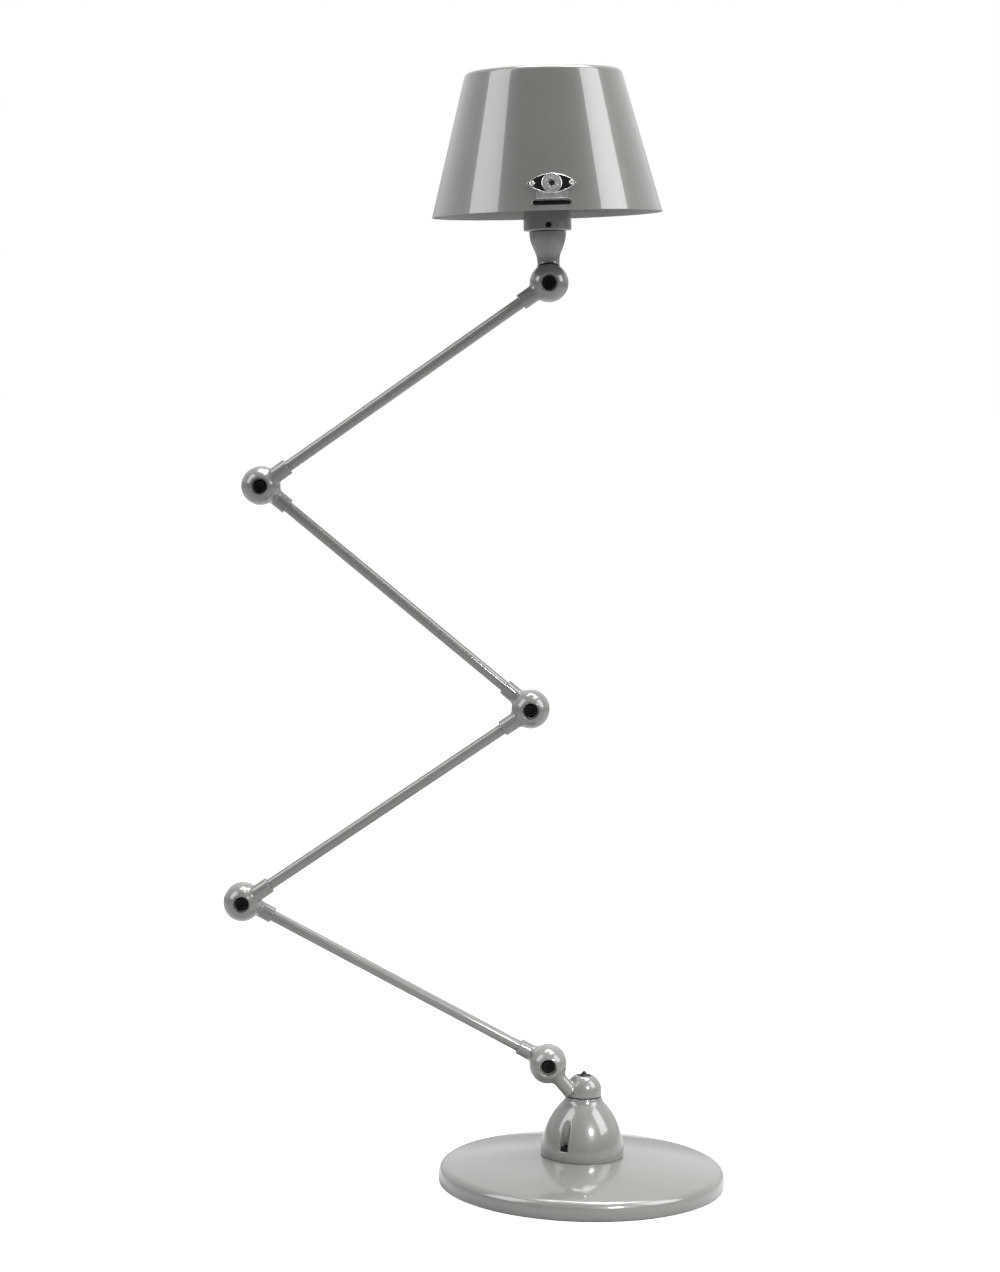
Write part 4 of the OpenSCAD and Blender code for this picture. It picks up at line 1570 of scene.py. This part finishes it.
    def true_normals(self, mesh: bpy.types.Mesh) -> None:
        """Sets the cone's own normals on the faces that lie on it.

        Args:
            mesh: The shell's mesh.
        """
        normals = []
        for face in mesh.polygons:
            flat = self.rim_place.axes @ np.array(face.normal)
            for corner in face.vertices:
                spot = self.rim_place.local(np.array(mesh.vertices[corner].co))
                r = math.hypot(spot[0], spot[1])
                true = None
                if r > 1e-6 and self.sheet < spot[2] < self.height - self.edge:
                    out = np.array([spot[0] / r * math.cos(self.lean),
                                    spot[1] / r * math.cos(self.lean), math.sin(self.lean)])
                    facing = float(out @ flat)
                    true = out * math.copysign(1, facing) if abs(facing) > 0.9 else None
                normals.append(tuple(self.place.turned(true)) if true is not None else (0, 0, 0))
        mesh.shade_smooth()
        mesh.set_sharp_from_angle(angle=math.radians(40))
        mesh.normals_split_custom_set(normals)

    def lip(self, sign: int) -> Skin:
        """The bead that stiffens one slot's edge.

        Args:
            sign: 1 in front, -1 at the back.

        Returns:
            The mesh.
        """
        w, h = self.slot
        bead, ring = 0.5 * MM, 12
        end = h / 2 + self.slot_knob + bead
        path = (arc((w / 2 - h / 2, self.slot_rise), end, -110, 110, 22)
                + arc((h / 2 - w / 2, self.slot_rise), end, 70, 290, 22))
        spots = np.array(path)
        way = np.roll(spots, -1, axis=0) - np.roll(spots, 1, axis=0)
        way /= np.linalg.norm(way, axis=1, keepdims=True)
        points = []
        for k in range(ring):
            t = 2 * math.pi * k / ring
            points.append(self.on_face(spots[:, 0] + way[:, 1] * bead * math.cos(t),
                                       spots[:, 1] - way[:, 0] * bead * math.cos(t),
                                       np.full(len(spots), bead * math.sin(t))))
        n = len(spots)
        faces = [[k * n + i, k * n + (i + 1) % n, (k + 1) % ring * n + (i + 1) % n,
                  (k + 1) % ring * n + i] for k in range(ring) for i in range(n)]
        skin = np.vstack(points) * np.array([sign, sign, 1])
        return Skin(skin, faces).at(self.rim_place)

    def collar_skin(self) -> Skin:
        """The enamelled collar that turns on the head's cup.

        Returns:
            The mesh.
        """
        r, h = self.collar
        foot, flange = self.collar_foot, self.collar_flange
        body = common(1.6 * MM, rod((0, 0, foot - 1 * MM), (0, 0, foot + h), r), above(foot))
        solid = carve(0.5 * MM, body, rod((0, 0, 0), (0, 0, foot + 2 * h), self.plug),
                      rod((0, 0, foot + flange), (0, 0, foot + 2 * h), self.holder),
                      rod((0, 0, foot + self.screw_rise), (0, -2 * r, foot + self.screw_rise),
                          self.screw_radius + 0.03 * MM))
        return skin_of(solid, (-r, -r, foot), (r, r, foot + h), 0.75 * MM).at(self.place)

    def grub_screw(self) -> Skin:
        """The set screw in the collar's front.

        Returns:
            The mesh.
        """
        r, _ = self.collar
        length = r - self.screw_start
        solid = carve(0.2 * MM, common(0.5 * MM, rod((0, 0, 0), (0, 0, length), self.screw_radius),
                                       below(length)), prism(2.5 * MM, 6, 1.2 * MM, 9 * MM))
        s = self.screw_radius
        made = skin_of(solid, (-s, -s, 0), (s, s, length), 0.2 * MM)
        start = (0, -self.screw_start, self.collar_foot + self.screw_rise)
        return made.at(Place.of(start, (0, -1, 0), (1, 0, 0))).at(self.place)

    def carrier(self) -> Skin:
        """The blackened strap that carries the shade on the collar.

        Returns:
            The mesh.
        """
        low = self.rim_reach + self.slot_rise - self.strap / 2
        width = self.slot[0] - 2 * MM
        reach = self.rim_radius - self.slot_rise * math.tan(self.lean) - self.strap_inset

        def bar(points: Points) -> np.ndarray:
            """Distances from the bar, its ends following the shade.

            Args:
                points: Where to measure.

            Returns:
                The distances, negative inside.
            """
            x = np.abs(points[:, 0]) - width / 2
            y = np.hypot(points[:, 0], points[:, 1]) - reach
            return np.maximum(x, y)

        slab = common(0.5 * MM, above(low), below(low + self.strap))
        ring = rod((0, 0, low - 1 * MM), (0, 0, low + 5 * MM), self.strap_ring)
        solid = common(0.7 * MM, fuse(6 * MM, bar, ring), slab)
        solid = carve(0.4 * MM, solid, rod((0, 0, 0), (0, 0, 2 * low), self.holder))
        r = self.strap_ring
        made = skin_of(solid, (-r, -reach, low), (r, reach, low + self.strap), 0.8 * MM)
        return made.at(self.place)

    def build(self) -> None:
        """Makes the shade's pieces."""
        self.shell()
        make("collar", self.collar_skin(), GREY_ENAMEL, "shade", ["shade_collar"])
        make("set_screw", self.grub_screw(), BLACK_STEEL, "shade", ["collar_screw"])
        make("carrier_strap", self.carrier(), BLACK_STEEL, "shade", ["shade_carrier"])
        Badge(self).build()


@dataclass
class Badge:
    """The pointed-oval badge: silver rim, black fields, a rayed disc and two eyelets."""

    shade: Shade
    width: float = 41 * MM
    height: float = 16.4 * MM
    rise: float = 22 * MM
    thick: float = 0.9 * MM
    rim: float = 0.7 * MM
    rim_lift: float = 0.6 * MM
    disc: float = 8.1 * MM
    disc_lift: float = 1.5 * MM
    rays: int = 36
    hub: float = 0.3
    disc_rings: int = 26
    disc_sides: int = 192
    tab: tuple[float, float] = (26.6 * MM, 6.5 * MM)
    tab_drop: float = 13 * MM
    tab_thick: float = 0.7 * MM
    eyelet: tuple[float, float] = (0.8 * MM, 2.15 * MM)
    eyelet_shank: float = 1.45 * MM
    eyelet_inset: float = 4.4 * MM

    def half_height(self, across: np.ndarray) -> np.ndarray:
        """Half the oval's height at a distance from its centre.

        Args:
            across: The distances.

        Returns:
            The half heights.
        """
        w, h = self.width, self.height
        r = (w * w + h * h) / (4 * h)
        return np.sqrt(np.maximum(r * r - across * across, 0)) - (r - h / 2)

    def sheet(self, across: np.ndarray, rise: np.ndarray, lift: np.ndarray) -> Skin:
        """A closed plate on the shade's face, from grids of place and height.

        Args:
            across: Grid of distances to the right.
            rise: Grid of heights above the rim.
            lift: Grid of heights above the face.

        Returns:
            The mesh: the upper face, its back and the edge between them.
        """
        rows, columns = across.shape
        front = self.shade.on_face(across, rise, lift).reshape(-1, 3)
        back = self.shade.on_face(across, rise, np.zeros_like(lift)).reshape(-1, 3)
        n = rows * columns
        faces = []
        for i in range(rows - 1):
            for j in range(columns - 1):
                a = i * columns + j
                face = [a, a + 1, a + columns + 1, a + columns]
                faces += [face, [n + k for k in reversed(face)]]
        edge = ([j for j in range(columns)]
                + [i * columns + columns - 1 for i in range(1, rows)]
                + [(rows - 1) * columns + j for j in range(columns - 2, -1, -1)]
                + [i * columns for i in range(rows - 2, 0, -1)])
        for a, b in zip(edge, edge[1:] + edge[:1]):
            faces.append([b, a, n + a, n + b])
        return Skin(np.vstack([front, back]), faces).at(self.shade.rim_place)

    def plate(self) -> None:
        """Makes the oval plate, its rim bright and its fields black."""
        columns, rows = 168, 64
        u = np.linspace(-0.995, 0.995, columns)
        v = np.linspace(-1, 1, rows)
        across = np.broadcast_to(u * self.width / 2, (rows, columns)).copy()
        half = self.half_height(across)
        rise = self.rise + v[:, None] * half
        inward = (1 - np.abs(v[:, None])) * half
        edge = np.clip(inward / self.rim, 0, 1)
        from_eyelet = np.hypot(np.abs(across) - self.width / 2 + self.eyelet_inset,
                               rise - self.rise)
        ends = np.clip((from_eyelet - 2.0 * MM) / (0.2 * MM), 0, 1)
        field_mask = np.clip((inward - self.rim) / (0.25 * MM), 0, 1) * ends
        lift = self.thick + self.rim_lift * np.sin(np.pi / 2 * edge) * (1 - 0.75 * field_mask)
        piece = make("badge_plate", self.sheet(across, rise, lift), SILVER, "shade", ["badge"], 60)
        piece.data.materials.append(BADGE_BLACK.material())
        black = (field_mask[:-1, :-1] > 0.55).ravel()
        for face in piece.data.polygons:
            number = face.index // 2
            if face.index % 2 == 0 and number < black.size and black[number]:
                face.material_index = 1

    def medallion(self) -> Skin:
        """The domed disc in the middle, with rays about a raised hub.

        Returns:
            The mesh.
        """
        rings, sides = self.disc_rings, self.disc_sides
        radius = np.linspace(0, 1, rings)[:, None] * self.disc
        turn = np.linspace(0, 2 * math.pi, sides, endpoint=False)[None, :]
        share = radius / self.disc
        band = np.clip((share - 0.42) / 0.06, 0, 1) * np.clip((0.8 - share) / 0.06, 0, 1)
        ray = band * 0.14 * MM * (0.5 + 0.5 * np.cos(self.rays * turn))
        petal = self.hub * (1 + 0.22 * np.cos(6 * turn))
        hub = -0.35 * MM * np.clip((petal - share) / 0.04, 0, 1)
        lip = 0.2 * MM * np.clip((share - 0.86) / 0.04, 0, 1) * np.clip((1 - share) / 0.04, 0, 1)
        lift = self.disc_lift + 0.25 * MM * (1 - share**2) + ray + hub + lip
        lift = np.broadcast_to(lift, (rings, sides))
        across = radius * np.cos(turn)
        rise = self.rise + radius * np.sin(turn)
        points = self.shade.on_face(across, rise, lift).reshape(-1, 3)
        skirt = self.shade.on_face(across[-1], rise[-1], np.zeros(sides))
        points = np.vstack([points, skirt])
        faces = []
        for k in range(rings):
            for j in range(sides):
                n = (j + 1) % sides
                a, b = k * sides, (k + 1) * sides
                faces.append([a + j, b + j, b + n, a + n])
        faces.append([rings * sides + j for j in range(sides)])
        return Skin(points, faces).at(self.shade.rim_place)

    def tab_plate(self) -> Skin:
        """The small plain plate under the oval, with a pressed border.

        Returns:
            The mesh.
        """
        w, h = self.tab
        columns, rows = 60, 20
        across = np.broadcast_to(np.linspace(-w / 2, w / 2, columns), (rows, columns)).copy()
        rise = self.rise - self.tab_drop + np.linspace(0, h, rows)[:, None] + 0 * across
        inward = np.minimum(w / 2 - np.abs(across), np.minimum(rise - rise[0], rise[-1] - rise))
        border = np.clip((0.9 * MM - inward) / (0.3 * MM), 0, 1)
        return self.sheet(across, rise, self.tab_thick + 0.25 * MM * border)

    def eyelets(self) -> Skin:
        """Two rolled eyelets through the badge and the shade.

        Returns:
            The mesh.
        """
        whole = None
        inner, outer = self.eyelet
        shank = self.eyelet_shank
        middle, bead = (inner + outer) / 2, (outer - inner) / 2
        for sign in (-1, 1):
            spot = self.shade.on_face(np.array([sign * (self.width / 2 - self.eyelet_inset)]),
                                      np.array([self.rise]), np.array([0.0]))[0]
            out = np.array([spot[0], spot[1], 0]) / math.hypot(spot[0], spot[1])
            normal = out * math.cos(self.shade.lean) + np.array([0, 0, math.sin(self.shade.lean)])
            top = self.thick + self.rim_lift
            back = -self.shade.sheet - 0.2 * MM
            outline = ([(inner, back), (middle, back - 0.5 * MM), (outer, back),
                        (shank, back), (shank, top)] + arc((middle, top), bead, 0, 180, 12))
            place = Place.of(spot, normal, (1, 0, 0))
            one = lathe(outline, 40).at(place).at(self.shade.rim_place)
            whole = one if whole is None else whole.with_more(one)
        return whole

    def build(self) -> None:
        """Makes the badge's pieces."""
        self.plate()
        disc = make("badge_disc", self.medallion(), SILVER, "shade", crease=50)
        disc.data.materials.append(BADGE_BLACK.material())
        for face in disc.data.polygons:
            ring = min(face.vertices) // self.disc_sides
            if ring < (self.disc_rings - 1) * self.hub and len(face.vertices) < 5:
                face.material_index = 1
        make("badge_tab", self.tab_plate(), SILVER, "shade", crease=50)
        make("eyelets", self.eyelets(), SILVER, "shade", ["badge_eyelets"], 60)


# ---------------------------------------------------------------- studio


def hang(light: bpy.types.Light, spot: Sequence[float], aim: Sequence[float]) -> None:
    """Puts a light in the studio.

    Args:
        light: The light.
        spot: Where it hangs.
        aim: The point that it faces.
    """
    lamp = bpy.data.objects.new(light.name, light)
    bpy.context.scene.collection.objects.link(lamp)
    way = Vector(aim) - Vector(spot)
    lamp.matrix_world = Matrix.Translation(spot) @ way.to_track_quat("-Z", "Y").to_matrix().to_4x4()


@dataclass(frozen=True)
class Softbox:
    """A rectangular softbox; a radiance of 1 is as bright as a white wall."""

    name: str
    spot: tuple[float, float, float]
    size: tuple[float, float]
    radiance: float
    aim: tuple[float, float, float] = (-0.05, 0, 0.55)

    def build(self) -> None:
        """Hangs the softbox."""
        light = bpy.data.lights.new(self.name, "AREA")
        light.shape, light.size, light.size_y = "RECTANGLE", self.size[0], self.size[1]
        light.energy = self.radiance * math.pi * self.size[0] * self.size[1]
        hang(light, self.spot, self.aim)


@dataclass(frozen=True)
class Spot:
    """A soft spotlight; its beam is in degrees."""

    name: str
    spot: tuple[float, float, float]
    aim: tuple[float, float, float]
    power: float
    beam: float
    softness: float
    radius: float

    def build(self) -> None:
        """Hangs the spotlight."""
        light = bpy.data.lights.new(self.name, "SPOT")
        light.energy, light.shadow_soft_size = self.power, self.radius
        light.spot_size, light.spot_blend = math.radians(self.beam), self.softness
        hang(light, self.spot, self.aim)


@dataclass
class Studio:
    """The pale floor, soft lights and camera; none of it is part of the lamp."""

    eye: tuple[float, float, float] = (-75.5 * MM, -2687 * MM, 729.7 * MM)
    pitch: float = 5.367
    yaw: float = -0.134
    roll: float = 1.317
    lens: float = 89.07
    floor_size: float = 60.0
    heights: Steps = ((0.50, 0.42), (0.54, 0.5), (0.59, 0.9), (0.75, 0.7), (0.95, 1.0))
    depths: Steps = ((0.2, 0.42), (0.45, 0.5), (0.75, 1.0))
    lights: tuple[Softbox | Spot, ...] = (
        Softbox("left window", (-2.3, -0.75, 2.2), (1.5, 2.3), 4.2, (-0.05, 0, 1.1)),
        Softbox("right window", (2.4, -0.7, 2.2), (1.5, 2.3), 5.6, (-0.05, 0, 1.1)),
        Softbox("overhead", (0.3, 0.5, 3.4), (2.4, 1.6), 9.5),
        Spot("low spot", (0.9, -1.7, 1.2), (0, 0, 0.04), 130.0, 21, 0.7, 0.22))

    def camera(self) -> None:
        """Places the camera level with the arms' middle, slightly rolled."""
        data = bpy.data.cameras.new("camera")
        data.lens, data.sensor_width, data.sensor_fit = self.lens, 36.0, "AUTO"
        data.clip_end = 100
        camera = bpy.data.objects.new("camera", data)
        bpy.context.scene.collection.objects.link(camera)
        pitch, yaw, roll = (math.radians(a) for a in (self.pitch, self.yaw, self.roll))
        ahead = Vector((math.sin(yaw) * math.cos(pitch), math.cos(yaw) * math.cos(pitch),
                        -math.sin(pitch)))
        level = Vector((math.cos(yaw), -math.sin(yaw), 0))
        upright = level.cross(ahead)
        right = level * math.cos(roll) + upright * math.sin(roll)
        up = upright * math.cos(roll) - level * math.sin(roll)
        turn = Matrix((right, up, -ahead)).transposed().to_4x4()
        camera.matrix_world = Matrix.Translation(self.eye) @ turn
        bpy.context.scene.camera = camera

    def floor(self) -> None:
        """Lays the pale floor: white from above, clear from beneath, mid grey in reflections."""
        s = self.floor_size / 2
        mesh = bpy.data.meshes.new("floor")
        mesh.from_pydata([(-s, -s, 0), (s, -s, 0), (s, s, 0), (-s, s, 0)], [], [[0, 1, 2, 3]])
        floor = bpy.data.objects.new("floor", mesh)
        bpy.context.scene.collection.objects.link(floor)
        recipe = Recipe("pale floor")
        seen = recipe.node("ShaderNodeLightPath").outputs["Is Camera Ray"]
        beneath = recipe.node("ShaderNodeNewGeometry").outputs["Backfacing"]
        tone = recipe.ramp(recipe.noise(0.4), (0.98, 0.98, 0.98), (1, 1, 1))
        recipe.set(Base_Color=recipe.ramp(seen, (0.5, 0.5, 0.5), (0.8, 0.8, 0.8), 0, 1),
                   Roughness=0.8, Specular_IOR_Level=0.0,
                   Alpha=recipe.scaled(beneath, 1.0, 0.0),
                   Emission_Color=tone, Emission_Strength=recipe.scaled(seen, 0.0, 0.72))
        mesh.materials.append(recipe.material)

    def world(self) -> None:
        """Sets a surround that is white to the eye and a graded grey room in reflections."""
        world = bpy.data.worlds.new("surround")
        bpy.context.scene.world = world
        world.use_nodes = True
        nodes = Nodes(world.node_tree)
        where = nodes.node("ShaderNodeTexCoord").outputs["Generated"]
        split = nodes.node("ShaderNodeSeparateXYZ", Vector=where)
        greys = []
        for axis, steps in (("Z", self.heights), ("Y", self.depths)):
            spread = nodes.node("ShaderNodeMapRange", Value=split.outputs[axis], From_Min=-1)
            greys.append(nodes.stops(spread.outputs[0], [(at, (grey,) * 3) for at, grey in steps]))
        room = nodes.mixed("MULTIPLY", 1.0, *greys)
        seen = nodes.node("ShaderNodeLightPath").outputs["Is Camera Ray"]
        colour = nodes.mixed("MIX", seen, room, (1, 1, 1, 1))
        nodes.put(world.node_tree.nodes["Background"].inputs["Color"], colour)

    def build(self) -> None:
        """Sets the studio up."""
        bpy.context.scene.view_settings.view_transform = "Standard"
        self.camera()
        self.floor()
        self.world()
        for light in self.lights:
            light.build()


def main() -> None:
    """Builds the studio and the lamp, from the floor up."""
    logging.basicConfig(level=logging.INFO, format="%(name)s: %(message)s")
    Studio().build()
    for part in (Base(), Bell(), Turret()):
        part.build()
    for number in range(1, 5):
        Arm(number).build()
    refinish(BROWN_BAKELITE, *[f"elbow_{n}_{word}_disc" for n in range(1, 6)
                               for word in ("track", "pin")])
    Head().build()
    Shade().build()


if __name__ == "__main__":
    main()
